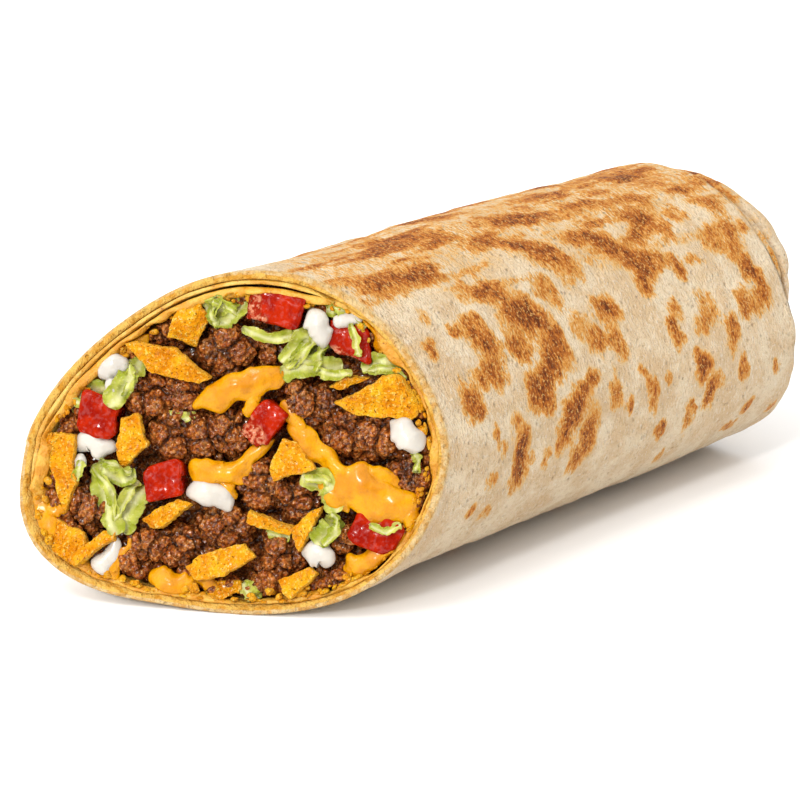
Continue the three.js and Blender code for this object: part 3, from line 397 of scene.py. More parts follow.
    def confine(self, points: Array, spare: float = 0.3) -> Array:
        """Points pressed back inside the wrap: the distance from the middle line levels off at the wall.

        Args:
            points: (..., 3) points.
            spare: clearance to the wall.
        Returns:
            The points, with those in the last soft share of the way to the wall, or past it, drawn in.
        """
        soft = 0.05
        shares = np.linspace(0, 1, 720, endpoint=False)
        ring = self.skin(shares, 0 * shares, self.wall(shares) + spare)
        angles = np.arctan2(ring[:, 2] - self.belly, ring[:, 1])
        reach = np.hypot(ring[:, 1], ring[:, 2] - self.belly)
        order = np.argsort(angles)
        y, z = points[..., 1], points[..., 2] - self.belly
        limit = np.interp(np.arctan2(z, y), angles[order], reach[order], period=TAU)
        away = np.hypot(y, z) / limit
        eased = 1 - soft * np.exp(-(np.maximum(away, 1 - soft) - 1 + soft) / soft)
        factor = np.where(away > 1 - soft, eased / np.maximum(away, 1e-6), 1)
        return np.stack([points[..., 0], y * factor, z * factor + self.belly], -1)


ROLL = Roll()


@dataclass(frozen=True)
class Face:
    """Frame of the cut: u to the right, v up, out of the food."""

    origin: Array
    u: Array
    v: Array
    out: Array

    @staticmethod
    def of(roll: Roll) -> "Face":
        """The frame of a roll's cut, from its two slopes.

        Args:
            roll: the roll.
        Returns:
            The frame.
        """
        out = np.array([-1, roll.cut_skew, roll.cut_tip])
        out = out / np.linalg.norm(out)
        u = np.array([-roll.cut_skew, -1, 0.0])
        u = u / np.linalg.norm(u)
        return Face(np.array([0, 0, roll.cut_level]), u, np.cross(out, u), out)

    def point(self, spots: Array) -> Array:
        """(..., 3) places given as u, v, out turned into points."""
        return self.origin + spots @ np.stack([self.u, self.v, self.out])

    def place(
        self, local: Array, at: Pair, out: float, turn: float = 0, pitch: float = 0
    ) -> Array:
        """A piece's own points set on the face, pitched about its length, then turned.

        Args:
            local: (..., 3) points of the piece.
            at: its middle on the face.
            out: how far its middle stands out.
            turn: turn about the way out of the face, in degrees.
            pitch: turn about its own length, in degrees.
        Returns:
            (..., 3) points.
        """
        spin = Matrix.Rotation(math.radians(turn), 3, "Z") @ Matrix.Rotation(math.radians(pitch), 3, "X")
        turned = local @ np.array(spin).T
        return self.point(turned + np.array([at[0], at[1], out]))


FACE = Face.of(ROLL)


# ---- meshes from grids


def looped_quads(rows: int, columns: int) -> Array:
    """Faces between rows of points whose columns close on themselves.

    Args:
        rows: rows of faces.
        columns: points in a row.
    Returns:
        (rows * columns, 4) numbers of points, corner by corner.
    """
    column = np.arange(columns)
    after = (column + 1) % columns
    row = np.arange(rows)[:, None] * columns
    corners = [row + column, row + after, row + after + columns, row + column + columns]
    return np.stack(corners, -1).reshape(-1, 4)


@dataclass
class Shell:
    """A closed surface as grids of points with looping columns and a pole at each end."""

    points: list[Array] = field(default_factory=list)
    values: dict[str, list[Array]] = field(default_factory=dict)

    def add(self, grid: Array, **values: Array) -> "Shell":
        """Adds one closed body and the attribute values of its points.

        Args:
            grid: (rows, columns, 3) points.
            values: (rows, columns) numbers by attribute name.
        Returns:
            The shell itself.
        """
        self.points.append(grid)
        for name, value in values.items():
            self.values.setdefault(name, []).append(np.broadcast_to(value, grid.shape[:2]))
        return self

    def build(self, name: str, material: Material, slot: str, *replaced: str) -> Object:
        """Makes the object, closes each grid with a pole at both ends, and lets it ride with the roll.

        Args:
            name: name of the piece.
            material: its finish.
            slot: passed on to piece.
            replaced: nodes of the frame that it stands for.
        Returns:
            The new object.
        """
        places, quads, tris, start = [], [], [], 0
        numbers: dict[str, list[Array]] = {key: [] for key in self.values}
        for index, grid in enumerate(self.points):
            rows, columns = grid.shape[:2]
            count = rows * columns
            poles = np.stack([grid[0].mean(0), grid[-1].mean(0)])
            places.append(np.concatenate([grid.reshape(-1, 3), poles]))
            quads.append(looped_quads(rows - 1, columns) + start)
            column = np.arange(columns)
            after = (column + 1) % columns
            first = np.stack([after, column, np.full(columns, count)], -1)
            last = (rows - 1) * columns
            second = np.stack([last + column, last + after, np.full(columns, count + 1)], -1)
            tris.append(np.concatenate([first, second]) + start)
            for key, series in self.values.items():
                flat = series[index]
                numbers[key].append(np.concatenate([flat.ravel(), [flat[0].mean(), flat[-1].mean()]]))
            start += count + 2
        mesh = surface(name, np.concatenate(places), np.concatenate(quads), np.concatenate(tris))
        for key, series in numbers.items():
            layer = mesh.attributes.new(key, "FLOAT", "POINT")
            layer.data.foreach_set("value", np.concatenate(series).astype(np.float32))
        return piece(name, mesh, material, slot, *replaced)


def surface(name: str, places: Array, quads: Array, tris: Array) -> bpy.types.Mesh:
    """A smooth mesh with its points moved to the frame, its faces turned out by the sign of its volume.

    Args:
        name: name of the mesh.
        places: (n, 3) points in millimetres.
        quads: (m, 4) faces.
        tris: (k, 3) faces.
    Returns:
        The mesh.
    """
    halves = np.concatenate([quads[:, [0, 1, 2]], quads[:, [0, 2, 3]], tris])
    a, b, c = (places[halves[:, k]] for k in range(3))
    if (a * np.cross(b, c)).sum() < 0:
        quads, tris = quads[:, ::-1], tris[:, ::-1]
    mesh = bpy.data.meshes.new(name)
    mesh.vertices.add(len(places))
    mesh.vertices.foreach_set("co", ((places - SHIFT) * METRE).astype(np.float32).ravel())
    corners = np.concatenate([quads.ravel(), tris.ravel()]).astype(np.int32)
    mesh.loops.add(len(corners))
    mesh.loops.foreach_set("vertex_index", corners)
    starts = np.concatenate([np.arange(len(quads)) * 4, len(quads) * 4 + np.arange(len(tris)) * 3])
    mesh.polygons.add(len(starts))
    mesh.polygons.foreach_set("loop_start", starts.astype(np.int32))
    mesh.polygons.foreach_set("use_smooth", np.ones(len(starts), bool))
    mesh.update(calc_edges=True)
    mesh.validate()
    return mesh


def put(name: str, data: bpy.types.ID) -> Object:
    """Puts a new object at the origin of the scene.

    Args:
        name: its name.
        data: its mesh, lamp or camera.
    Returns:
        The object.
    """
    made = bpy.data.objects.new(name, data)
    bpy.context.scene.collection.objects.link(made)
    return made


def piece(name: str, mesh: bpy.types.Mesh, material: Material, slot: str, *replaced: str) -> Object:
    """An object for a mesh, dressed, riding with the roll and standing for the named nodes.

    Args:
        name: name of the piece.
        mesh: its mesh.
        material: its finish.
        slot: not used.
        replaced: nodes of the frame that it stands for.
    Returns:
        The new object.
    """
    mesh.materials.append(material)
    made = put(name, mesh)
    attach(made, "root")
    if replaced:
        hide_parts(*replaced)
    LOG.info("%s: %d faces", name, len(mesh.polygons))
    return made


def path_frames(knots: Array, steps: int) -> tuple[Array, Array, Array, Array]:
    """A curve through knots with its side and up directions.

    Args:
        knots: (n, k) numbers whose first three are u, v, out.
        steps: number of places along it.
    Returns:
        Shares of its length, (steps, k) blended knots, and (steps, 3) side and up directions: side is out
        crossed with the way along, and up is the way along crossed with side.
    """
    padded = np.concatenate([[2 * knots[0] - knots[1]], knots, [2 * knots[-1] - knots[-2]]])
    share = np.linspace(0, 1, steps)
    spot = through(padded, share * (len(knots) - 1))
    along = np.gradient(spot[:, :3], axis=0)
    along /= np.linalg.norm(along, axis=1, keepdims=True)
    side = np.cross([0, 0, 1.0], along)
    side /= np.linalg.norm(side, axis=1, keepdims=True)
    return share, spot, side, np.cross(along, side)


def rounded(grid: Array, amount: Array) -> Array:
    """A grid moved along its outward directions, which the volume's sign settles.

    Args:
        grid: (rows, columns, 3) closed grid.
        amount: (rows, columns) distance outwards.
    Returns:
        The moved grid.
    """
    normals = grid_normals(grid)
    middle = grid.mean((0, 1))
    if ((grid - middle) * normals).sum() < 0:
        normals = -normals
    return grid + normals * amount[..., None]


# ---- finishes


PAINT = 0.76  # share of its light that each finish keeps, because the lamps that whiten the floor are strong


def linear(colour: str, share: float = PAINT) -> tuple[float, ...]:
    """A screen colour as linear light, by the standard curve of screens, dimmed to a share.

    Args:
        colour: six hexadecimal digits.
        share: share of the light that is kept.
    Returns:
        Red, green, blue and full opacity.
    """
    parts = [int(colour[k : k + 2], 16) / 255 for k in (0, 2, 4)]
    light = [p / 12.92 if p <= 0.04045 else ((p + 0.055) / 1.055) ** 2.4 for p in parts]
    return (*(share * value for value in light), 1.0)


class Wire:
    """One socket of a node tree, whose sums and products add Math nodes."""

    def __init__(self, coat: "Coat", socket: bpy.types.NodeSocket) -> None:
        """Keeps the tree's coat and the socket."""
        self.coat = coat
        self.socket = socket

    def math(self, operation: str, *values: "Wire | float") -> "Wire":
        """The result of one Math node on this socket and others."""
        return self.coat.node("Math", {"operation": operation}, dict(enumerate((self, *values))))

    def __add__(self, other: "Wire | float") -> "Wire":
        """Sum."""
        return self.math("ADD", other)

    __radd__ = __add__

    def __sub__(self, other: "Wire | float") -> "Wire":
        """Difference."""
        return self.math("SUBTRACT", other)

    def __rsub__(self, other: float) -> "Wire":
        """A number less this socket."""
        return self.coat.node("Math", {"operation": "SUBTRACT"}, {0: other, 1: self})

    def __mul__(self, other: "Wire | float") -> "Wire":
        """Product."""
        return self.math("MULTIPLY", other)

    __rmul__ = __mul__

    def step(self, low: float, high: float) -> "Wire":
        """Eased step from 0 at low to 1 at high.

        Args:
            low: where the step starts.
            high: where it ends.
        Returns:
            The step.
        """
        return self.coat.node(
            "MapRange",
            {"interpolation_type": "SMOOTHSTEP"},
            {"Value": self, "From Min": low, "From Max": high, "To Min": 0.0, "To Max": 1.0},
        )


class Coat:
    """A material under construction: one Principled shader and the nodes that feed it."""

    def __init__(self, name: str) -> None:
        """Starts a material with an empty tree.

        Args:
            name: name of the material.
        """
        self.material = bpy.data.materials.new(name)
        self.material.use_nodes = True
        self.tree = self.material.node_tree
        self.tree.nodes.clear()
        self.place = self.node("TexCoord", out="Object")

    def node(
        self,
        kind: str,
        settings: dict[str, object] | None = None,
        sockets: dict[str | int, object] | None = None,
        out: str | int = 0,
    ) -> Wire:
        """Adds any node.

        Args:
            kind: type of the node, without the ShaderNode that each begins with.
            settings: its own settings, set first; "stops" fills a colour ramp.
            sockets: values or wires by the name or number of the socket.
            out: the output to hand back.
        Returns:
            That output.
        """
        made = self.tree.nodes.new("ShaderNode" + kind)
        for key, value in (settings or {}).items():
            if key == "stops":
                self.fill_ramp(made, value)
            else:
                setattr(made, key, value)
        for key, value in (sockets or {}).items():
            if isinstance(value, Wire):
                self.tree.links.new(value.socket, made.inputs[key])
            else:
                made.inputs[key].default_value = value
        return Wire(self, made.outputs[out]) if len(made.outputs) else Wire(self, made.inputs[0])

    @staticmethod
    def fill_ramp(ramp: bpy.types.Node, stops: list[tuple[float, str]]) -> None:
        """Puts stops on a colour ramp.

        Args:
            ramp: the colour ramp.
            stops: place and colour of each.
        """
        elements = ramp.color_ramp.elements
        while len(elements) < len(stops):
            elements.new(0.5)
        for element, (place, colour) in zip(elements, stops):
            element.position = place
            element.color = linear(colour)

    def attribute(self, name: str) -> Wire:
        """A number painted on the piece's own points."""
        return self.node("Attribute", {"attribute_name": name}, out="Fac")

    def grain(self, size: float, detail: float = 2, place: Wire | None = None, seed: float = 0) -> Wire:
        """Noise from 0 to 1.

        Args:
            size: about how far across its features are, in millimetres.
            detail: how many finer noises lie over it.
            place: where it is read; the piece's own points unless given.
            seed: how far it is moved aside, so that two noises differ.
        Returns:
            The noise.
        """
        moved = place or self.place
        if seed:
            aside = (seed, seed * 0.7, 0.3)
            moved = self.node("VectorMath", {"operation": "ADD"}, {0: moved, 1: aside})
        return self.node("TexNoise", None, {"Vector": moved, "Scale": 1 / (size * METRE), "Detail": detail})

    def specks(self, size: float) -> Wire:
        """Distance to the nearest of strewn points, as a share of their spacing.

        Args:
            size: the spacing in millimetres.
        Returns:
            The distance.
        """
        return self.node("TexVoronoi", None, {"Vector": self.place, "Scale": 1 / (size * METRE)})

    def ramp(self, value: Wire, *stops: tuple[float, str]) -> Wire:
        """Colours looked up by a value."""
        return self.node("ValToRGB", {"stops": list(stops)}, {"Fac": value}, out="Color")

    def blend(self, share: Wire | float, a: Wire | str | tuple, b: Wire | str | tuple) -> Wire:
        """Two colours mixed by a share.

        Args:
            share: 0 for the first colour, 1 for the second.
            a: the first colour.
            b: the second colour.
        Returns:
            The mix.
        """
        first, second = (linear(colour) if isinstance(colour, str) else colour for colour in (a, b))
        return self.node("Mix", {"data_type": "RGBA"}, {0: share, 6: first, 7: second}, out=2)

    def bump(self, height: Wire, depth: float) -> Wire:
        """Surface direction from a height.

        Args:
            height: the height.
            depth: how many millimetres one unit of it stands for.
        Returns:
            The direction.
        """
        return self.node("Bump", None, {"Height": height, "Strength": 1.0, "Distance": depth * METRE})

    def finish(
        self, share: float = 0, reach: Triple = (1, 1, 1), scale: float = 1, **sockets: object
    ) -> Material:
        """Closes the tree with a Principled shader.

        Args:
            share: share of the light that spreads under the surface.
            reach: how far its red, green and blue spread.
            scale: millimetres that a reach of 1 stands for.
            sockets: other values or wires, with spaces of their names written as underscores.
        Returns:
            The material.
        """
        named = {key.replace("_", " "): value for key, value in sockets.items()}
        if share:
            named |= {"Subsurface Weight": share, "Subsurface Radius": reach}
            named["Subsurface Scale"] = scale * METRE
        shader = self.node("BsdfPrincipled", None, named)
        self.node("OutputMaterial", None, {"Surface": shader})
        return self.material


@dataclass(frozen=True)
class WrapFinish:
    """Griddled flour tortilla: cream, flecked, with grainy toast marks that the points carry."""

    flour: str = "E8C89E"
    pale: str = "F8E2C0"
    grey: str = "CCA674"
    # painted highlight and painted shade: paler on the tops and darker in the lows of the fine relief
    relief_highlight: str = "FFF3DE"
    relief_shade: str = "C6A070"
    pore: str = "A08468"
    toasted: tuple[tuple[float, str], ...] = (
        (0, "F2D8AC"), (0.2, "F2C078"), (0.4, "E8A24C"), (0.62, "CC782C"), (0.84, "9C501A"), (1, "6E3410"),
    )
    glow: str = "F0BC70"
    rim: tuple[str, str, str] = ("EBCB92", "DDA95E", "9A6A38")
    soaked: tuple[str, str] = ("DC9A30", "F2C260")
    shaded: str = "9A7248"
    roughness: float = 0.65

    def material(self) -> Material:
        """Toast runs from cream through gold to brown by the painted mark, broken up by fine grain.

        Returns:
            The material.
        """
        coat = Coat("griddled tortilla")
        toast, rim, soak = coat.attribute("toast"), coat.attribute("rim"), coat.attribute("soak")
        stretch = {0: coat.place, 1: (1.5, 0.75, 0.75)}
        around = coat.node("VectorMath", {"operation": "MULTIPLY"}, stretch)
        fine, coarse = coat.grain(0.62, 3, around), coat.grain(1.8, 3, around, 0.3)
        mottle, flecks = coat.grain(6, 3, seed=0.9), coat.grain(0.9, 2, seed=1.7)
        there = toast.step(0.02, 0.4)
        heat = toast * 0.86 + (fine - 0.5) * 1.3 * there + (coarse - 0.5) * 0.85 * there
        plain = coat.blend(mottle.step(0.35, 0.65), self.flour, self.pale)
        plain = coat.blend(flecks.step(0.56, 0.7) * 0.4, plain, self.grey)
        # painted highlight where the fine noise that raises the bump is high, painted shade where it is low
        plain = coat.blend(fine.step(0.56, 0.68) * 0.55, plain, self.relief_highlight)
        plain = coat.blend((1 - fine).step(0.58, 0.7) * 0.4, plain, self.relief_shade)
        pores = coat.specks(1.7)
        plain = coat.blend((1 - pores.step(0.06, 0.18)) * 0.3, plain, self.pore)
        skin = coat.blend(heat.step(0.04, 0.3), plain, coat.ramp(heat, *self.toasted))
        # painted highlight: pale specks over the toast marks
        glow = coat.grain(0.5, 2, seed=5.5).step(0.56, 0.66) * heat.step(0.2, 0.5)
        skin = coat.blend(glow * 0.75, skin, self.glow)
        edge = coat.blend(coat.grain(1.3, 3, seed=2.2).step(0.38, 0.62), self.rim[0], self.rim[1])
        edge = coat.blend(coat.grain(0.8, 2, seed=3.1).step(0.64, 0.74) * 0.6, edge, self.rim[2])
        golden = coat.blend(coarse.step(0.35, 0.6), *self.soaked)
        edge = coat.blend((soak + (coarse - 0.5) * 0.8).step(0.35, 0.6), edge, golden)
        skin = coat.blend(rim, skin, edge)
        skin = coat.blend(coat.attribute("groove") * 0.7, skin, self.shaded)
        height = fine * 0.5 + coarse * 0.45 + coat.grain(0.33, 2, seed=4) * 0.25 + pores.step(0.0, 0.3) * 0.3
        return coat.finish(
            Base_Color=skin,
            Roughness=coarse * -0.2 + self.roughness,
            Normal=coat.bump(height, 1.6),
            share=0.1, reach=(0.9, 0.5, 0.3),
            Specular_IOR_Level=0.1,
        )


@dataclass(frozen=True)
class FoldFinish:
    """Inside of the tortilla, soaked gold by the filling."""

    gold: str = "DFA02C"
    pale: str = "F2C65E"
    fleck: str = "8A4A18"

    def material(self) -> Material:
        """Gold and pale dough by soft noise, with a few dark specks and an oily shine.

        Returns:
            The material.
        """
        coat = Coat("soaked tortilla")
        patches = coat.grain(3.2, 3)
        dough = coat.blend(patches.step(0.38, 0.62), self.gold, self.pale)
        dough = coat.blend(coat.grain(0.8, 2, seed=1).step(0.66, 0.74) * 0.7, dough, self.fleck)
        height = coat.grain(0.7, 3, seed=2) * 0.5 + patches * 0.5
        return coat.finish(
            Base_Color=dough,
            Roughness=0.42,
            Normal=coat.bump(height, 0.9),
            share=0.15, reach=(1.0, 0.6, 0.2), scale=1.2,
        )


@dataclass(frozen=True)
class BeefFinish:
    """Browned, seasoned mince, moist, with painted shade in its creases and between its grains and painted
    highlights on its grain tops.
    """

    # painted shade: the colour that creases and the gaps between grains are darkened to
    dark: str = "3A190A"
    seared: str = "6A3212"
    brown: str = "AC5218"
    light: str = "DC8436"
    grain_top_highlight: str = "F4AE68"
    glint: str = "F4C08A"

    def material(self) -> Material:
        """Brown by grain, with painted shade by the painted crease depth and between grains, painted
        highlights on grain tops, painted glints, and fine wet bumps.

        Returns:
            The material.
        """
        coat = Coat("browned mince")
        crease = coat.attribute("crease")
        fine, soft = coat.grain(0.6, 3), coat.grain(3.0, 2, seed=0.5)
        grains = coat.specks(0.85)
        # the ramp follows the fine noise that also raises the bump, so grain tops are painted paler as
        # highlight and the lows darker as shade
        browned = ((0.3, self.seared), (0.45, self.brown), (0.58, self.light), (0.7, self.grain_top_highlight))
        meat = coat.ramp(soft * 0.3 + fine * 0.7, *browned)
        # painted shade in the gaps between grains
        meat = coat.blend(grains.step(0.4, 0.8) * 0.6, meat, self.dark)
        # painted glints, then painted shade by the crease depth
        glints = coat.grain(0.42, 1, seed=7.7).step(0.63, 0.7) * (1 - crease)
        meat = coat.blend(glints * 0.75, coat.blend(crease, meat, self.dark), self.glint)
        height = 1 - grains * 1.2 + fine * 0.6 + coat.grain(0.35, 2, seed=1.4) * 0.3
        return coat.finish(
            Base_Color=meat,
            Roughness=0.3 + fine * 0.2,
            Normal=coat.bump(height, 0.7),
            Coat_Weight=coat.grain(0.5, 1, seed=3.3).step(0.47, 0.58),
            Coat_Roughness=0.17,
            Specular_IOR_Level=0.06,
        )


@dataclass(frozen=True)
class TomatoFinish:
    """Ripe tomato: glossy red flesh, with paler wet pulp where seeds showed."""

    red: str = "C02600"
    deep: str = "9C1200"
    bright: str = "D2350F"
    pulp: tuple[str, str] = ("A8260A", "E28A60")

    def material(self) -> Material:
        """Red by soft noise, turning to pink pulp where the points say so.

        Returns:
            The material.
        """
        coat = Coat("ripe tomato")
        wet = coat.attribute("pulp")
        soft, fine = coat.grain(2.6, 2), coat.grain(0.7, 2, seed=1)
        flesh = coat.blend(soft.step(0.35, 0.65), self.deep, self.red)
        flesh = coat.blend(fine.step(0.6, 0.8) * 0.3, flesh, self.bright)
        flesh = coat.blend(wet, flesh, coat.blend(fine.step(0.42, 0.66), *self.pulp))
        height = soft * 0.4 + fine * (0.25 + wet)
        return coat.finish(
            Base_Color=flesh,
            Roughness=0.16 + fine * 0.12,
            Normal=coat.bump(height, 0.6),
            share=0.15, reach=(1.2, 0.2, 0.1),
            Coat_Weight=fine.step(0.5, 0.6) * 0.7,
            Coat_Roughness=0.15,
            Specular_IOR_Level=0.05,
        )


@dataclass(frozen=True)
class ChipFinish:
    """Fried corn: orange-yellow with grit, dark specks, paler broken edges, and painted highlights on the
    grit.
    """

    orange: str = "F5A012"
    yellow: str = "FCBC22"
    deep: str = "E08408"
    broken: str = "F4B53A"
    grit_highlight: str = "FFDC70"
    burnt: str = "8A4408"

    def material(self) -> Material:
        """Deep orange to yellow by patchy noise, yellow on the edges, specks by fine noise.

        Returns:
            The material.
        """
        coat = Coat("fried corn")
        edge = coat.attribute("edge")
        patch, grit = coat.grain(2.8, 3), coat.grain(0.55, 2, seed=0.6)
        fried = ((0.34, self.deep), (0.48, self.orange), (0.62, self.yellow))
        corn = coat.ramp(patch * 0.7 + grit * 0.3, *fried)
        corn = coat.blend(edge * 0.6, corn, self.broken)
        # painted highlight: pale specks where the grit noise that raises the bump is high
        corn = coat.blend(grit.step(0.58, 0.68) * 0.7, corn, self.grit_highlight)
        corn = coat.blend(coat.grain(0.5, 1, seed=2.4).step(0.66, 0.74) * 0.8, corn, self.burnt)
        height = grit * 0.9 + coat.grain(0.35, 2, seed=3) * 0.6 + coat.specks(1.1) * 0.25
        return coat.finish(
            Base_Color=corn,
            Roughness=0.5 - grit * 0.15,
            Normal=coat.bump(height, 0.8),
            share=0.08, reach=(1.0, 0.5, 0.1),
            Coat_Weight=coat.grain(0.6, 1, seed=4.1).step(0.53, 0.63) * 0.5,
            Coat_Roughness=0.2,
            Specular_IOR_Level=0.04,
        )


@dataclass(frozen=True)
class CreamFinish:
    """Sour cream: white, soft and glossy."""

    warm: str = "D6CFC4"
    white: str = "E2DBCE"

    def material(self) -> Material:
        """Near white with a breath of warmer tone and a very soft surface.

        Returns:
            The material.
        """
        coat = Coat("sour cream")
        soft = coat.grain(3.5, 2)
        return coat.finish(
            Base_Color=coat.blend(soft.step(0.3, 0.7), self.warm, self.white),
            Roughness=0.25 + soft * 0.1,
            Normal=coat.bump(coat.grain(1.6, 2, seed=1), 0.2),
            share=0.35, reach=(1.0, 0.85, 0.65), scale=1.2,
            Coat_Weight=0.4,
            Coat_Roughness=0.15,
        )


@dataclass(frozen=True)
class LeafFinish:
    """Shredded iceberg lettuce: whitish ribs, yellow-green edges."""

    green: str = "A6AE2A"
    pale: str = "CCCC5C"
    rib: str = "E6E4A6"
    edge: str = "8C9A22"
    vein: str = "F4F0B8"

    def material(self) -> Material:
        """Pale at the painted rib, greener where the points are tinted, with pale veins by fine noise.

        Returns:
            The material.
        """
        coat = Coat("shredded lettuce")
        rib, tint = coat.attribute("rib"), coat.attribute("tint")
        soft, fine = coat.grain(2.2, 2), coat.grain(0.6, 2, seed=1)
        leaf = coat.blend(soft.step(0.35, 0.65), self.green, self.pale)
        leaf = coat.blend(tint, leaf, self.edge)
        leaf = coat.blend(rib, leaf, self.rib)
        leaf = coat.blend(fine.step(0.55, 0.72) * 0.35, leaf, self.vein)
        return coat.finish(
            Base_Color=leaf,
            Roughness=0.3 + fine * 0.1,
            Normal=coat.bump(soft * 0.6 + fine * 0.4, 0.35),
            share=0.3, reach=(0.7, 0.9, 0.2),
            Coat_Weight=0.2,
            Specular_IOR_Level=0.15,
        )


@dataclass(frozen=True)
class CheeseFinish:
    """Warm cheese sauce: deep yellow, smooth and glossy."""

    yellow: str = "F2A804"
    deep: str = "DA8A04"

    def material(self) -> Material:
        """Yellow with deeper streaks, nearly smooth.

        Returns:
            The material.
        """
        coat = Coat("cheese sauce")
        soft = coat.grain(4, 2)
        return coat.finish(
            Base_Color=coat.blend(soft.step(0.35, 0.7), self.yellow, self.deep),
            Roughness=0.2 + soft * 0.1,
            Normal=coat.bump(coat.grain(1.8, 3, seed=1), 0.75),
            share=0.15, reach=(1.2, 0.6, 0.1), scale=1.2,
            Coat_Weight=0.5,
            Coat_Roughness=0.18,
            Specular_IOR_Level=0.04,
        )


@dataclass(frozen=True)
class FloorFinish:
    """Matt white studio paper."""

    white: str = "F6F6F6"
    fibre: str = "F2F2F2"

    def material(self) -> Material:
        """Plain white with the faintest paper grain.

        Returns:
            The material.
        """
        coat = Coat("studio paper")
        tone = coat.blend(coat.grain(4, 2) * 0.1, linear(self.white, 1), linear(self.fibre, 1))
        return coat.finish(Base_Color=tone, Roughness=0.9, Specular_IOR_Level=0.1)


# ---- the wrap


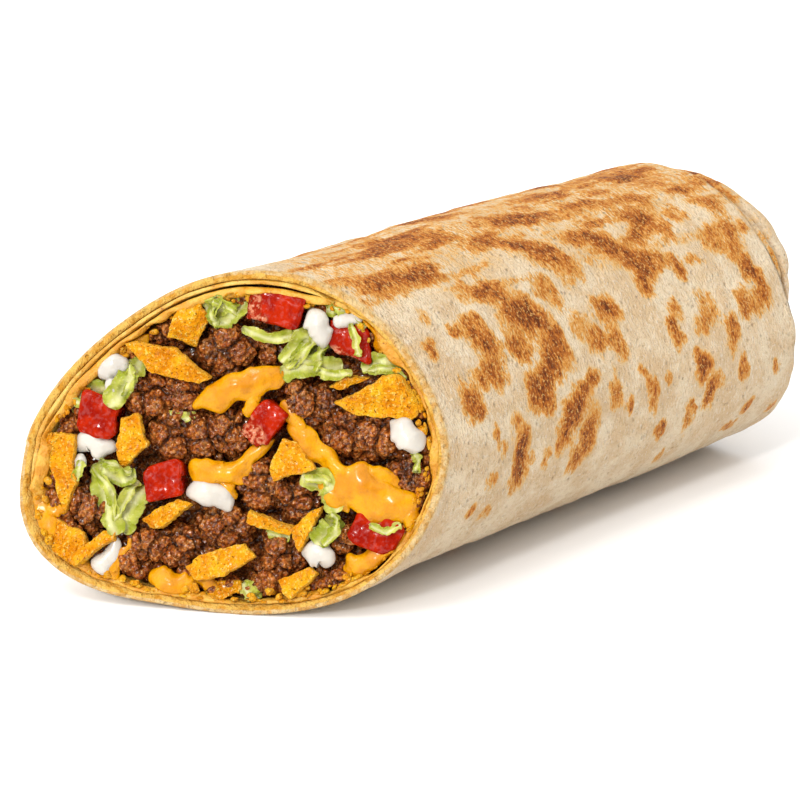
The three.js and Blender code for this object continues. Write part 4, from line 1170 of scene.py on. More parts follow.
@dataclass(frozen=True)
class ToastMarks:
    """Griddle marks on the wrap.

    Each mark that shows is a place along the roll, a share of the girth, half its length and height, its tilt
    in degrees and its heat. Each strewn band is a number of marks, the shares between which they lie, their
    size and their heat. Top is the middle and width of the band of thin lines.
    """

    seen: Rows = (
        (26.5, 0.548, 0.9, 1.2, 0, 0.75), (31.8, 0.563, 1.1, 0.9, 0, 0.55), (31.5, 0.526, 1.4, 1.4, 0, 0.6),
        (39.6, 0.522, 2.5, 4.6, 0, 0.95), (40.3, 0.500, 2.0, 2.4, 0, 0.85),
        (38.4, 0.480, 1.9, 2.6, 0, 0.55), (33.0, 0.482, 0.9, 1.5, 0, 0.7), (34.4, 0.498, 0.9, 1.2, 0, 0.35),
        (47.0, 0.520, 0.9, 1.2, 0, 0.6), (43.6, 0.514, 0.7, 0.9, 0, 0.4), (46.8, 0.531, 0.8, 0.8, 0, 0.4),
        (56.4, 0.544, 1.5, 1.8, 0, 0.6), (57.8, 0.528, 3.4, 3.2, 0, 0.85), (60.2, 0.511, 2.3, 3.4, 0, 0.8),
        (52.0, 0.507, 1.8, 3.0, 0, 0.85), (53.8, 0.491, 3.4, 2.6, 0, 0.9),
        (57.4, 0.476, 4.2, 2.3, -15, 0.85), (61.0, 0.467, 2.6, 1.7, 0, 0.75),
        (67.2, 0.485, 1.8, 3.2, 0, 0.7), (45.4, 0.469, 3.0, 2.2, 0, 0.8), (47.4, 0.452, 3.9, 3.4, 0, 0.95),
        (49.8, 0.440, 2.6, 2.4, 0, 0.85), (28.8, 0.452, 2.4, 2.6, 0, 0.8), (28.6, 0.438, 2.6, 1.6, 0, 0.6),
        (33.4, 0.426, 2.8, 2.2, 0, 0.75), (37.6, 0.418, 3.2, 3.8, 0, 0.75),
        (36.2, 0.397, 3.2, 2.8, 0, 0.85), (35.6, 0.382, 2.9, 2.0, 0, 0.7), (44.4, 0.411, 2.9, 2.4, 0, 0.75),
        (53.6, 0.427, 4.3, 3.8, 0, 0.85), (54.4, 0.412, 2.8, 1.9, 0, 0.7), (51.2, 0.393, 4.6, 3.0, 0, 1.0),
        (49.2, 0.376, 5.2, 2.5, 8, 0.95), (45.0, 0.384, 3.2, 2.2, 0, 0.6), (41.4, 0.350, 3.9, 2.0, 5, 0.8),
        (46.0, 0.356, 3.8, 2.0, 10, 0.75), (24.0, 0.388, 1.3, 1.0, 0, 0.75),
        (31.8, 0.375, 1.0, 1.0, 0, 0.65), (26.6, 0.361, 0.8, 1.4, 0, 0.45),
        (60.2, 0.375, 2.3, 2.6, 0, 0.65), (58.4, 0.364, 1.6, 1.6, 0, 0.5), (66.5, 0.434, 2.4, 2.0, 0, 0.8),
        (63.6, 0.414, 2.2, 3.4, 0, 0.5), (72.0, 0.405, 3.8, 2.9, 0, 0.95), (71.2, 0.440, 2.2, 3.3, 0, 0.6),
        (68.4, 0.355, 3.8, 2.6, 15, 0.8), (65.0, 0.338, 5.0, 2.6, 15, 0.95),
        (62.0, 0.318, 4.0, 2.2, 15, 0.9), (26.6, 0.322, 7.0, 1.8, 6, 0.6), (30.8, 0.316, 4.4, 1.2, 6, 0.8),
        (34.2, 0.326, 2.8, 1.4, 6, 0.7), (36.6, 0.313, 1.8, 0.9, 0, 0.55), (22.4, 0.309, 3.4, 1.2, 8, 0.65),
        (23.0, 0.332, 1.1, 0.9, 0, 0.45), (50.8, 0.302, 2.0, 1.1, 0, 0.7),
        (55.4, 0.293, 5.6, 1.8, 12, 0.85), (44.2, 0.268, 7.4, 2.4, 10, 0.75),
        (36.0, 0.266, 4.6, 1.9, 10, 0.6), (37.0, 0.246, 4.0, 2.0, 0, 0.75), (25.0, 0.256, 4.0, 1.3, 0, 0.5),
        (66.0, 0.276, 5.2, 2.0, 8, 0.75), (57.0, 0.271, 3.0, 1.0, 8, 0.45), (86.0, 0.580, 1.3, 1.3, 0, 0.6),
        (107.8, 0.573, 1.7, 1.0, -20, 0.7), (110.2, 0.552, 1.2, 1.4, 0, 0.9),
        (122.2, 0.567, 1.4, 1.5, 0, 0.7), (82.0, 0.547, 1.3, 1.3, 0, 0.65), (83.4, 0.538, 1.0, 1.3, 0, 0.9),
        (90.6, 0.541, 1.9, 2.6, 0, 0.6), (91.8, 0.529, 0.6, 0.6, 0, 0.9), (96.4, 0.525, 1.9, 2.6, 0, 0.85),
        (98.2, 0.512, 1.9, 1.8, 0, 0.6), (94.6, 0.489, 2.4, 2.7, 0, 0.85), (93.4, 0.480, 1.5, 1.4, 0, 0.9),
        (79.0, 0.500, 1.6, 3.6, -6, 0.7), (77.6, 0.487, 1.2, 1.5, 0, 0.5), (70.8, 0.508, 0.9, 1.1, 0, 0.8),
        (76.2, 0.474, 1.0, 1.0, 0, 0.5), (83.2, 0.484, 0.8, 0.9, 0, 0.7),
        (107.2, 0.507, 1.3, 2.5, -10, 0.75), (118.6, 0.514, 1.3, 1.1, 0, 0.6),
        (103.2, 0.477, 1.6, 2.0, 0, 0.5), (105.0, 0.463, 2.0, 2.8, -15, 0.8),
        (97.4, 0.449, 3.6, 1.9, 0, 0.5), (100.2, 0.437, 2.6, 2.4, 0, 0.5), (88.2, 0.451, 1.5, 2.6, 0, 0.7),
        (88.2, 0.438, 1.3, 1.3, 0, 0.85), (90.8, 0.426, 1.8, 1.4, 0, 0.6), (111.8, 0.443, 2.7, 2.6, 0, 0.8),
        (116.2, 0.450, 2.4, 2.4, 0, 0.65), (119.0, 0.431, 1.9, 3.2, 0, 0.8),
        (117.2, 0.414, 2.5, 2.6, 0, 0.85), (112.2, 0.374, 2.9, 2.8, 0, 0.6),
        (117.2, 0.376, 2.4, 3.6, 0, 0.65), (115.0, 0.397, 2.2, 2.4, 0, 0.55),
        (108.4, 0.376, 1.2, 1.4, 0, 0.5), (119.6, 0.358, 1.4, 2.4, 0, 0.5),
        (122.6, 0.372, 1.6, 1.3, 0, 0.6), (86.0, 0.391, 2.6, 2.4, 0, 0.85),
        (89.2, 0.375, 4.2, 2.4, 0, 0.95), (86.0, 0.360, 3.8, 2.4, 0, 0.9),
        (83.0, 0.350, 4.2, 1.8, 10, 0.85), (98.0, 0.388, 1.7, 2.8, 0, 0.9), (94.6, 0.381, 3.0, 1.3, 0, 0.6),
        (103.2, 0.386, 1.4, 1.2, 0, 0.5), (80.2, 0.334, 5.0, 1.6, 10, 0.9),
        (76.0, 0.328, 3.2, 1.3, 10, 0.6), (92.4, 0.347, 2.9, 1.7, 0, 0.8), (96.0, 0.336, 4.0, 2.2, 0, 0.7),
        (98.4, 0.325, 2.0, 1.3, 0, 0.8), (101.2, 0.347, 2.0, 1.4, 0, 0.7), (95.0, 0.315, 4.2, 1.2, 8, 0.65),
        (107.0, 0.333, 2.4, 1.2, 0, 0.75), (119.4, 0.335, 2.4, 2.0, 0, 0.75),
        (115.8, 0.322, 3.4, 1.2, 10, 0.7), (84.2, 0.315, 3.0, 1.1, 12, 0.65),
        (88.0, 0.291, 6.6, 1.8, 10, 0.9), (74.6, 0.285, 5.0, 1.3, 10, 0.75),
        (71.0, 0.291, 3.0, 1.3, 10, 0.8), (76.4, 0.270, 3.0, 0.9, 10, 0.6),
        (104.0, 0.302, 4.0, 1.2, 8, 0.6), (113.0, 0.295, 5.0, 1.3, 10, 0.7),
        (116.2, 0.305, 2.0, 1.0, 10, 0.7), (97.0, 0.276, 5.0, 1.3, 10, 0.6),
        (110.6, 0.262, 6.6, 4.0, 8, 1.0), (118.0, 0.250, 3.8, 2.3, 8, 0.8),
        (122.4, 0.290, 2.6, 1.3, 0, 0.55), (118.0, 0.273, 2.0, 0.8, 0, 0.6),
        (83.0, 0.245, 5.2, 2.4, 0, 0.75), (60.0, 0.240, 5.0, 1.6, 0, 0.6), (97.0, 0.250, 3.5, 1.6, 6, 0.6),
        (127.2, 0.340, 1.7, 4.2, 0, 0.85), (131.5, 0.300, 2.0, 5.0, 0, 0.8),
        (133.0, 0.245, 2.2, 5.0, 0, 0.8), (129.5, 0.405, 1.2, 4.0, 0, 0.4),
    )
    strewn: tuple[tuple[int, float, float, float, float], ...] = (
        (70, 0.02, 0.225, 3.4, 0.85), (44, 0.64, 1.02, 2.2, 0.7),
    )
    along: Pair = (2, 124)
    top: Pair = (0.265, 0.085)
    seed: int = 41

    def unseen(self) -> Array:
        """Marks strewn at random where the photograph doesn't reach: thick on top, thin underneath.

        Returns:
            (n, 6) marks in the same order of numbers.
        """
        random = np.random.default_rng(self.seed)
        rows = []
        for count, low, high, size, heat in self.strewn:
            big = size * random.uniform(0.35, 1.15, count)
            mark = [
                random.uniform(*self.along, count),
                random.uniform(low, high, count),
                big * random.uniform(0.8, 1.3, count),
                big * random.uniform(0.7, 1.2, count),
                random.uniform(-20, 20, count),
                heat * random.uniform(0.6, 1.15, count),
            ]
            rows.append(np.stack(mark, -1))
        return np.concatenate(rows)

    def at(self, share: Array, x: Array) -> Array:
        """Heat of the toast: marks are ellipses with ragged sides that merge as 1 - product of (1 - heat).

        A band along the top has thin lines where the griddle left no mark, and a haze of toast between them.

        Args:
            share: share of the girth.
            x: place along the roll.
        Returns:
            Heat from 0 to 1.
        """
        flat = np.stack([x, np.mod(share, 1) * ROLL.girth, 0 * x], -1)
        streak = flat * [1, 0.5, 1]
        ragged = 1.0 * noise(streak, 3.2, 3) + 0.8 * noise(streak, 1.2, 4)
        slipped = 1.3 * noise(streak, 3.2, 5) + 1.1 * noise(streak, 1.3, 6)
        middle, width = self.top
        top = np.exp(-(((np.mod(share, 1) - middle) / width) ** 2))
        lines = noise(flat * [0.3, 1.5, 1], 3.2, 8) + 0.5 * noise(flat * [0.3, 1.5, 1], 1.6, 9)
        left = np.ones_like(x)
        marks = np.concatenate([np.array(self.seen), self.unseen()])
        for mark_x, mark_share, long, high, tilt, heat in marks:
            dx = x - mark_x + ragged
            ds = (np.mod(share - mark_share + 0.5, 1) - 0.5) * ROLL.girth + slipped
            turn = math.radians(tilt)
            a = (dx * math.cos(turn) + ds * math.sin(turn)) / (long * 1.1 + 0.5)
            b = (ds * math.cos(turn) - dx * math.sin(turn)) / (high * 1.15 + 0.6)
            left = left * (1 - heat * (1 - smooth(0.25, 1.25, np.hypot(a, b))))
        left = mix(1, left, 1 - 0.75 * top * smooth(-0.1, 0.7, -lines))
        haze = (0.26 + 0.5 * smooth(-0.1, 0.7, lines)) * top + 0.08 * smooth(0, 0.9, lines)
        return 1 - left * (1 - haze * smooth(4, 20, x))


@dataclass
class Wrap:
    """The tortilla: a tube with a cut rim, a lip, the tucked fold, and the inner end of the roll.

    Lip rings are a place past the lip and a depth. Tuck rings are a share of the fold's reach, a depth and a
    pull to the middle. Toast ends over toast_rows of the fold. Each groove is a row, a width and a shade.
    """

    columns: int = 360
    outer_rows: int = 150
    tuck_steps: int = 5
    ripple: float = 0.5
    sink: float = 0.9
    flap: float = 1.6
    flap_level: float = 31
    hollow_end: float = 119
    lip_rings: Rows = ((0, 0.35), (0.1, 1.1), (-0.8, 1.7), (-1.8, 2.6))
    tuck_rings: Rows = (
        (0.02, 3.4, 0), (0.16, 2.7, 0), (0.34, 1.9, 0), (0.44, 2.9, 0), (0.54, 2.0, 0), (0.76, 2.3, 0),
        (0.92, 3.4, 0), (1, 5.4, 0), (1, 6.5, 0.2), (0.9, 6.5, 0.5), (0.82, 6.5, 0.8),
    )
    toast_rows: Pair = (50, 60)
    grooves: Rows = ((17, 6, 1), (35, 3, 0.9))
    sheet_rows: int = 90
    sheet_columns: int = 96
    sheet_length: float = 40
    marks: ToastMarks = field(default_factory=ToastMarks)

    def shares(self) -> Array:
        """Shares of the girth round one ring."""
        return np.arange(self.columns)[None, :] / self.columns

    def inside(self) -> Array:
        """Rings of the hollow, from its closed end to the cut.

        Returns:
            (rings, columns, 3) points.
        """
        s = self.shares()
        wall, corner = ROLL.layer, 3
        end = ROLL.skin(s, self.hollow_end, wall + corner)
        rings = [ROLL.drawn_in(end, pull) for pull in (0.7, 0.35, 0)]
        rings.append(ROLL.skin(s, self.hollow_end - corner, wall))
        start = ROLL.skin_at_cut(s, wall, 0)[..., 0]
        for part in (0.75, 0.5, 0.3, 0.15, 0.07, 0.03):
            rings.append(ROLL.skin(s, mix(start, self.hollow_end - corner, part), wall))
        return np.concatenate(rings)

    def rim(self) -> Array:
        """Cut edge of one layer: flat, with its two corners rounded back and a slightly torn face.

        Returns:
            (rings, columns, 3) points, from the inside to the outside.
        """
        s = self.shares()
        part = np.linspace(0, 1, 10)[:, None]
        depth = ROLL.layer * (1 - part) + 0 * s
        back = 0.4 * np.abs(2 * part - 1) ** 4 + 0 * s
        grid = ROLL.skin_at_cut(s, depth, back)
        torn = 0.16 * noise(grid, 1.1, 21) + 0.12 * noise(grid, 2.6, 22)
        return grid - FACE.out * torn[..., None] * np.sin(np.pi * mix(0.15, 0.85, part))[..., None]

    def outside(self) -> tuple[Array, Array]:
        """Outside from the cut to the lip, closest rings near the cut.

        Returns:
            The rings, and the place of each point along the roll.
        """
        s = self.shares()
        crowding, reach, first = 1.05, 0.986, 0.004
        part = np.linspace(0, 1, self.outer_rows)[:, None] ** crowding * reach + first
        start = ROLL.skin_at_cut(s, 0 * s, 0)[..., 0]
        x = mix(start, ROLL.length, part)
        return ROLL.skin(s, x, 0 * x), x

    def tuck_ring(self, reach: float, depth: float, pull: float) -> Array:
        """One ring of the tucked fold: the section carried out past the lip, sunk and drawn to the middle.

        A flap of the fold steps out past a slanted line across it.

        Args:
            reach: share of how far the fold stands out.
            depth: how far below the outside.
            pull: how far to the middle.
        Returns:
            (1, columns, 3) points.
        """
        s = self.shares()
        outer = ROLL.skin(s, ROLL.length, 0)
        stand = ROLL.stand(outer)
        fold = self.ripple * np.sin(TAU * 5 * s + 0.8) * smooth(0.4, 1, reach) * (1 - pull)
        sunk = self.sink * smooth(48, 57, outer[..., 2]) * smooth(0, 0.5, reach)
        point = ROLL.drawn_in(ROLL.skin(s, ROLL.length + stand * reach + fold, depth + sunk), pull)
        past = 0.5 * point[..., 1] + 0.86 * (point[..., 2] - self.flap_level)
        step = self.flap * (smooth(-2.2, 2.2, past) - 0.5) * smooth(0.6, 1, reach + pull)
        return point + np.stack([step, 0 * step, 0 * step], -1)

    def end(self) -> Array:
        """Lip and tucked fold: a cubic through the rings that the solid has.

        Returns:
            (rings, columns, 3) points.
        """
        s = self.shares()
        rings = [ROLL.skin(s, ROLL.length + ahead, depth) for ahead, depth in self.lip_rings]
        rings += [self.tuck_ring(*one) for one in self.tuck_rings]
        knots = np.concatenate(rings)
        padded = np.concatenate([knots[:1], knots, knots[-1:]])
        last = len(knots) - 1
        return through(padded, np.linspace(0, last, last * self.tuck_steps + 1))

    def tube(self) -> Object:
        """The wrap as one closed surface, blistered and creased by noise, its finish painted on its points.

        Toast is the heat of the griddle, rim the cut edge and the inside, soak where sauce got in, and groove
        the shade in the steps of the fold.

        Returns:
            The wrap.
        """
        inside, rim, end = self.inside(), self.rim(), self.end()
        outside, along = self.outside()
        grid = np.concatenate([inside, rim, outside, end])
        out_from = len(inside) + len(rim)
        x = np.concatenate([np.zeros((out_from, self.columns)), along, end[..., 0]])
        share = np.broadcast_to(self.shares(), x.shape)
        toast = self.marks.at(share, x)
        toast[:out_from] = 0
        toast[-len(end) :] *= 1 - smooth(*self.toast_rows, np.arange(len(end)))[:, None]
        blister = 0.2 * layered(grid, 6.5, 2, 31) + 0.09 * noise(grid, 2.2, 33) + 0.12 * toast
        crease = 0.35 * (1 - np.abs(noise(grid * [0.5, 1, 1], 13, 35))) ** 6
        relief = (blister - crease) * smooth(0, 6, np.arange(len(grid)) - out_from)[:, None]
        under = smooth(0.3, 2.5, grid[..., 2])
        grid = rounded(grid, relief * under)
        grid[..., 2] = np.maximum(grid[..., 2], 0)
        row = np.arange(len(grid))[:, None] + 0 * share
        rim_mask = np.where(row < out_from, 1.0, 1 - smooth(0, 1.6, row - out_from))
        low, high = ROLL.overlap
        overlap = smooth(-0.03, 0.03, share - low) * smooth(-0.03, 0.03, high - share)
        soak = 1 - smooth(len(inside), out_from - 2, row) + 0.35 * overlap
        place = row - len(grid) + len(end)
        groove = sum(much * np.exp(-(((place - at) / width) ** 2)) for at, width, much in self.grooves)
        groove = groove * smooth(-3, 1.5, grid[..., 0] - ROLL.length)
        shell = Shell().add(grid, toast=toast, rim=rim_mask, soak=soak, groove=groove)
        return shell.build("tortilla_wrap", WrapFinish().material(), "tortilla", "tortilla")

    def inner_end(self) -> Object:
        """The end of the roll inside the outer layer: a thin sheet that tapers at both sides.

        Returns:
            The sheet.
        """
        low, high = ROLL.overlap[0] - 0.03, ROLL.overlap[1] + 0.03
        turn = turns(self.sheet_columns)
        lift, reach = squared(np.sin(turn), 0.35), squared(np.cos(turn), 0.35)
        part = np.linspace(0, 1, self.sheet_rows)[:, None]
        share = mix(low, high, part) + 0 * turn
        near, far = (np.minimum(1, smooth(0, 0.1, side) + 0.05) for side in (part, 1 - part))
        thick = ROLL.inner_layer * near * far
        middle = ROLL.layer + ROLL.inner_layer / 2 - 0.05 + 0.03 * (1 + np.sin(TAU * 9 * part))
        depth = middle + thick / 2 * lift
        start = ROLL.skin_at_cut(share, depth, 0)[..., 0]
        run = (1 + reach) / 2 * self.sheet_length
        ragged = 0.35 * noise(np.stack([share * ROLL.girth, depth, 0 * share], -1), 2.4, 51)
        grid = ROLL.skin(share, start + 0.12 - ragged + run, depth)
        return Shell().add(grid).build("tortilla_inner_end", FoldFinish().material(), "tortilla")

    def build(self) -> None:
        """Makes both pieces of the wrap."""
        self.tube()
        self.inner_end()


# ---- ground beef


@dataclass
class GroundBeef:
    """Mince: a bed that fills the roll, clumps of grains on its cut face, and loose crumbs between them.

    Lobe, knob and grain are the sizes of what the mince breaks into. Each clump is a place on the face and
    half its width and height.
    """

    lobe: float = 4.2
    knob: float = 1.9
    grain: float = 0.95
    bed_level: float = -5.4
    bed_end: float = 118.6
    clump_level: float = -3.7
    clump_crumbs: int = 12
    wall_crumbs: int = 260
    seed: int = 12
    clumps: Rows = (
        (-13.8, 18.2, 3.2, 2.4), (-1.8, 16.2, 5, 5), (5.6, 16.1, 2.4, 2.8), (-16, 7.4, 4, 4.2),
        (-9.8, 7.6, 3.6, 3.8), (-11.2, 0.2, 3.8, 4.4), (-5.4, 0.6, 3.8, 4.2), (-0.2, 2.2, 3.4, 4),
        (11.6, 7.4, 3.8, 4.4), (16.2, 6.4, 3.2, 4), (19.8, 2.8, 4, 4.2), (25.4, 2.2, 4.2, 4.4),
        (30.4, -3.8, 3.6, 3.8), (-30.6, 1.6, 2.2, 2.6), (4.6, -7, 4.4, 4.6), (12, -9.2, 4.8, 3.6),
        (-25.2, -12, 3.8, 4.8), (-33, -11.8, 2.6, 3), (-14.4, -18.4, 4.8, 3.8), (-8.2, -19.4, 4.2, 3.8),
        (-17.6, -21.8, 3, 3.2), (-1.6, -15, 4, 3.8), (6.4, -24, 2.8, 3.2), (8.8, -19.2, 3.4, 3.6),
        (19.6, -15.6, 2.2, 2.2), (18.8, -22.4, 2.4, 1.8),
    )
    finish: Material = field(init=False)

    def granular(self, grid: Array, seed: int) -> tuple[Array, Array]:
        """A surface broken into lobes, knobs and grains: domes over strewn points, with creases between them.

        Args:
            grid: (rows, columns, 3) closed grid.
            seed: which strewn points.
        Returns:
            The moved grid and how deep in a crease each point lies, from 0 to 1, which the finish paints as
            shade.
        """
        near, far = cells(grid, self.lobe, seed)
        split = 1 - smooth(0, 0.22, far - near)
        dome = np.sqrt(np.clip(1 - near**2, 0, 1))
        knob_near, knob_far = cells(grid, self.knob, seed + 5)
        knob_split = 1 - smooth(0, 0.3, knob_far - knob_near)
        knob_dome = np.sqrt(np.clip(1 - knob_near**2, 0, 1))
        grain_near, grain_far = cells(grid, self.grain, seed + 7)
        grain_split = 1 - smooth(0, 0.35, grain_far - grain_near)
        height = 1.9 * (dome - 0.75) - 0.6 * split + 0.6 * (knob_dome - 0.65) - 0.2 * knob_split
        height = height + 0.66 * (0.5 - grain_near) + 0.16 * noise(grid, 0.7, seed + 9)
        crease = 0.6 * split + 0.35 * knob_split + 0.35 * grain_split - 0.2
        return rounded(grid, height), np.clip(crease, 0, 1)

    def clump(self, number: int, u: float, v: float, a: float, b: float) -> Object:
        """One clump: an egg set in the bed, its near half drawn finer, then broken into grains.

        Args:
            number: number of the clump, from 0.
            u: place of its middle to the right on the face.
            v: place of its middle up the face.
            a: half its width.
            b: half its height.
        Returns:
            The clump.
        """
        rows, columns = 60, 120
        polar = np.linspace(0.02, 0.99, rows)[:, None] ** 1.15 * np.pi
        turn = turns(columns)
        deep = 4.0 if min(a, b) > 3 else 3.0
        across = (a + 0.2) * np.sin(polar) * np.cos(turn)
        rise = (b + 0.2) * np.sin(polar) * np.sin(turn)
        egg = np.stack([across, rise, deep * np.cos(polar) + 0 * turn], -1)
        egg = egg * (1 + 0.16 * noise(egg + 9.1 * number, 4.5, 60))[..., None]
        grid = FACE.place(egg, (u, v), self.clump_level)
        grid, crease = self.granular(grid, 100 + 20 * number)
        shell = Shell().add(ROLL.confine(grid, 0.5), crease=crease)
        return shell.build(f"ground_beef_clump_{number + 1:02d}", self.finish, "ground_beef")

    def bed(self) -> Object:
        """The core: the hollow's shape from end to end, closed at the cut by a granular bed.

        Returns:
            The core.
        """
        columns, bed_rows, corner = 168, 66, 3.2
        s = np.arange(columns)[None, :] / columns
        deep = ROLL.wall(s) + ROLL.gap + 0.1
        end = self.bed_end
        rings = [ROLL.skin(s, end, deep + corner), ROLL.skin(s, end - corner, deep)]
        start = ROLL.skin_at_cut(s, deep, 5.0)
        rings += [ROLL.skin(s, mix(start[..., 0], end, part), deep) for part in (0.66, 0.33, 0.05)]
        rings.append(start)
        shell = np.concatenate(rings)
        middle = FACE.point(np.array([0, -2, self.bed_level]))
        inward = np.linspace(0, 0.985, bed_rows)[1:, None, None]
        face = mix(start, middle, inward)
        away = (face - FACE.origin) @ FACE.out
        face = face + FACE.out * ((self.bed_level - away) * smooth(0, 0.06, inward[..., 0]))[..., None]
        grid = np.concatenate([shell, face])
        moved, crease = self.granular(grid, 700)
        share = smooth(0, 5, np.arange(len(grid)) - len(shell))[:, None, None]
        core = Shell().add(mix(grid, moved, share), crease=crease)
        return core.build("ground_beef_bed", self.finish, "ground_beef", "ground_beef")

    def crumbs(self) -> Object:
        """Loose grains strewn between the clumps and along the wall: uneven balls swollen by noise.

        Returns:
            All the grains, as one piece.
        """
        random = np.random.default_rng(self.seed)
        shell = Shell()
        grain = ball(7, 10, 0.12)
        for u, v, a, b in self.clumps:
            for _ in range(self.clump_crumbs):
                angle, far = random.uniform(0, TAU), random.uniform(0.8, 1.35)
                radius = random.uniform(0.6, 1.25)
                out = -4.4 + 2.0 * max(0.0, 1.35 - far) + random.uniform(-0.6, 0.5)
                spot = (u + a * far * math.cos(angle), v + b * far * math.sin(angle))
                lump = grain * radius * random.uniform(0.75, 1.2, 3)
                lump = lump * (1 + 0.25 * noise(lump + 9 * u + out, 0.9, 3))[..., None]
                place = FACE.place(lump, spot, out, random.uniform(0, 360), random.uniform(0, 180))
                # painted shade: each loose grain is darkened a little by a fixed crease depth
                shell.add(ROLL.confine(place, 0.4), crease=0.15 + 0 * lump[..., 0])
        for _ in range(self.wall_crumbs):
            share = random.uniform(0, 1, 1)
            depth = ROLL.wall(share) + random.uniform(1.6, 3.4)
            spot = ROLL.skin_at_cut(share, depth, random.uniform(2.2, 3.8, 1))[0]
            lump = grain * random.uniform(0.8, 1.5) * random.uniform(0.75, 1.2, 3)
            lump = lump * (1 + 0.25 * noise(lump + spot, 0.9, 3))[..., None]
            # painted shade: each grain along the wall is darkened a little by a fixed crease depth
            shell.add(ROLL.confine(lump + spot, 0.4), crease=0.1 + 0 * lump[..., 0])
        return shell.build("ground_beef_crumbs", self.finish, "ground_beef")

    def build(self) -> None:
        """Makes the bed, the clumps and the crumbs."""
        self.finish = BeefFinish().material()
        self.bed()
        for number, one in enumerate(self.clumps):
            self.clump(number, *one)
        self.crumbs()


# ---- slabs: tomato dice and corn chips


def slab(planes: Array, half_thick: float, rings: tuple[Array, Array], columns: int, sharp: float) -> Array:
    """A flat body whose outline is the crossing of half planes with its corners softened.

    Args:
        planes: (n, 3) rows of direction x, direction y, distance.
        half_thick: half of the thickness.
        rings: share of the outline and share of the half thickness of each ring, front to back.
        columns: points round a ring.
        sharp: how sharp the corners are.
    Returns:
        (rows, columns, 3) grid: the reach at an angle is the soft least of distance over cosine, at angles
        that part the outline evenly.
    """
    turn = np.linspace(0, TAU, 1441)
    for _ in range(2):
        way = np.stack([np.cos(turn), np.sin(turn)], -1)
        towards = np.maximum(way @ planes[:, :2].T, 1e-3) / planes[:, 2]
        reach = (towards**sharp).sum(1) ** (-1 / sharp)
        if len(turn) == columns:
            break
        edge = way * reach[:, None]
        run = np.concatenate([[0], np.cumsum(np.hypot(*np.diff(edge, axis=0).T))])
        turn = np.interp(np.arange(columns) / columns * run[-1], run, turn)
    share, level = rings
    flat = way[None] * reach[None, :, None] * share[:, None, None]
    height = np.broadcast_to(level[:, None, None] * half_thick, (*flat.shape[:2], 1))
    return np.concatenate([flat, height], -1)


@dataclass(frozen=True)
class Dice:
    """One tomato piece. Pulp gives the way its seedy side faces and how much of it there is."""

    at: Pair
    out: float
    size: Triple
    turn: float
    shear: float = 0
    pulp: Pair | None = None


@dataclass
class Tomatoes:
    """Diced tomato that shows on the cut."""

    pieces: tuple[Dice, ...] = (
        Dice((6.6, 24), -3.2, (10, 7.4, 8.4), -8, 0.1, (188, 0.28)),
        Dice((19.5, 18.3), -3.9, (7.8, 6.2, 7.6), -12, -0.2, (240, 0.2)),
        Dice((-23.8, 3.2), -3, (7.2, 7.4, 8), -14, -0.12),
        Dice((5.3, 3.4), -3, (5.4, 8, 7.6), -34, 0.1, (215, 0.5)),
        Dice((-11.9, -7.3), -2.8, (7.2, 6.4, 7.6), 8),
        Dice((25.8, -14), -3.6, (8.8, 6.4, 8), -18, 0.15),
    )
    finish: Material = field(init=False)

    def one(self, number: int, dice: Dice) -> Object:
        """A block with cut corners, softened edges, a faintly domed face and pulp on one side.

        Args:
            number: number of the piece, from 1.
            dice: its sizes.
        Returns:
            The piece.
        """
        width, height, depth = dice.size
        random = np.random.default_rng(70 + number)
        corners = []
        sides = ((1, 0, width / 2), (-1, 0, width / 2), (0, 1, height / 2), (0, -1, height / 2))
        for way_x, way_y, reach in sides:
            lean = random.uniform(-0.13, 0.13)
            corners.append((way_x - way_y * lean, way_y + way_x * lean, reach * random.uniform(0.94, 1.02)))
        spread = math.hypot(width, height)
        for sx in (-1, 1):
            for sy in (-1, 1):
                cut = width * height / spread * random.uniform(0.78, 0.97)
                corners.append((sx * height / spread, sy * width / spread, cut))
        front = np.linspace(0.04, 1, 26)
        side = np.linspace(0, 1, 16)
        bevel = 0.9 + 0.1 * np.sin(side[1:8] * np.pi)
        share = np.concatenate([front * 0.92, bevel, mix(1, 0.86, side[8:]), front[::-1] * 0.74])
        domed = 1 + 0.04 * (1 - front**2)
        level = np.concatenate([domed, mix(0.98, 0.78, side[1:8]), mix(0.7, -0.8, side[8:]), -1 + 0 * front])
        grid = slab(np.array(corners), depth / 2, (share, level), 112, 44)
        grid[..., 0] += dice.shear * grid[..., 1]
        pulp = np.zeros(grid.shape[:2])
        if dice.pulp:
            way = math.radians(dice.pulp[0] - dice.turn)
            reach = grid[..., 0] * math.cos(way) / (width / 2) + grid[..., 1] * math.sin(way) / (height / 2)
            reach = reach + 0.25 * noise(grid, 1.8, 5 + number)
            pulp = smooth(0.75 - dice.pulp[1] * 1.6, 1.0 - dice.pulp[1] * 1.2, reach)
        near, _ = cells(grid, 1.5, 30 + number)
        relief = 0.3 * noise(grid, 3.2, number) + 0.14 * noise(grid, 1.3, 40 + number) - 0.6 * pulp * near
        grid = FACE.place(rounded(grid, relief), dice.at, dice.out, dice.turn)
        shell = Shell().add(ROLL.confine(grid), pulp=pulp)
        return shell.build(f"tomato_dice_{number}", self.finish, "tomato", f"tomato_{number}")

    def build(self) -> None:
        """Makes every piece."""
        self.finish = TomatoFinish().material()
        for number, dice in enumerate(self.pieces, 1):
            self.one(number, dice)


@dataclass(frozen=True)
class Chip:
    """One broken corn chip: its corners on the face, how far it stands out, and the way its length runs.

    Pitch tips it about its length, in degrees, and bend is the rise of its arch.
    """

    corners: Rows
    out: float
    along: float
    pitch: float
    bend: float


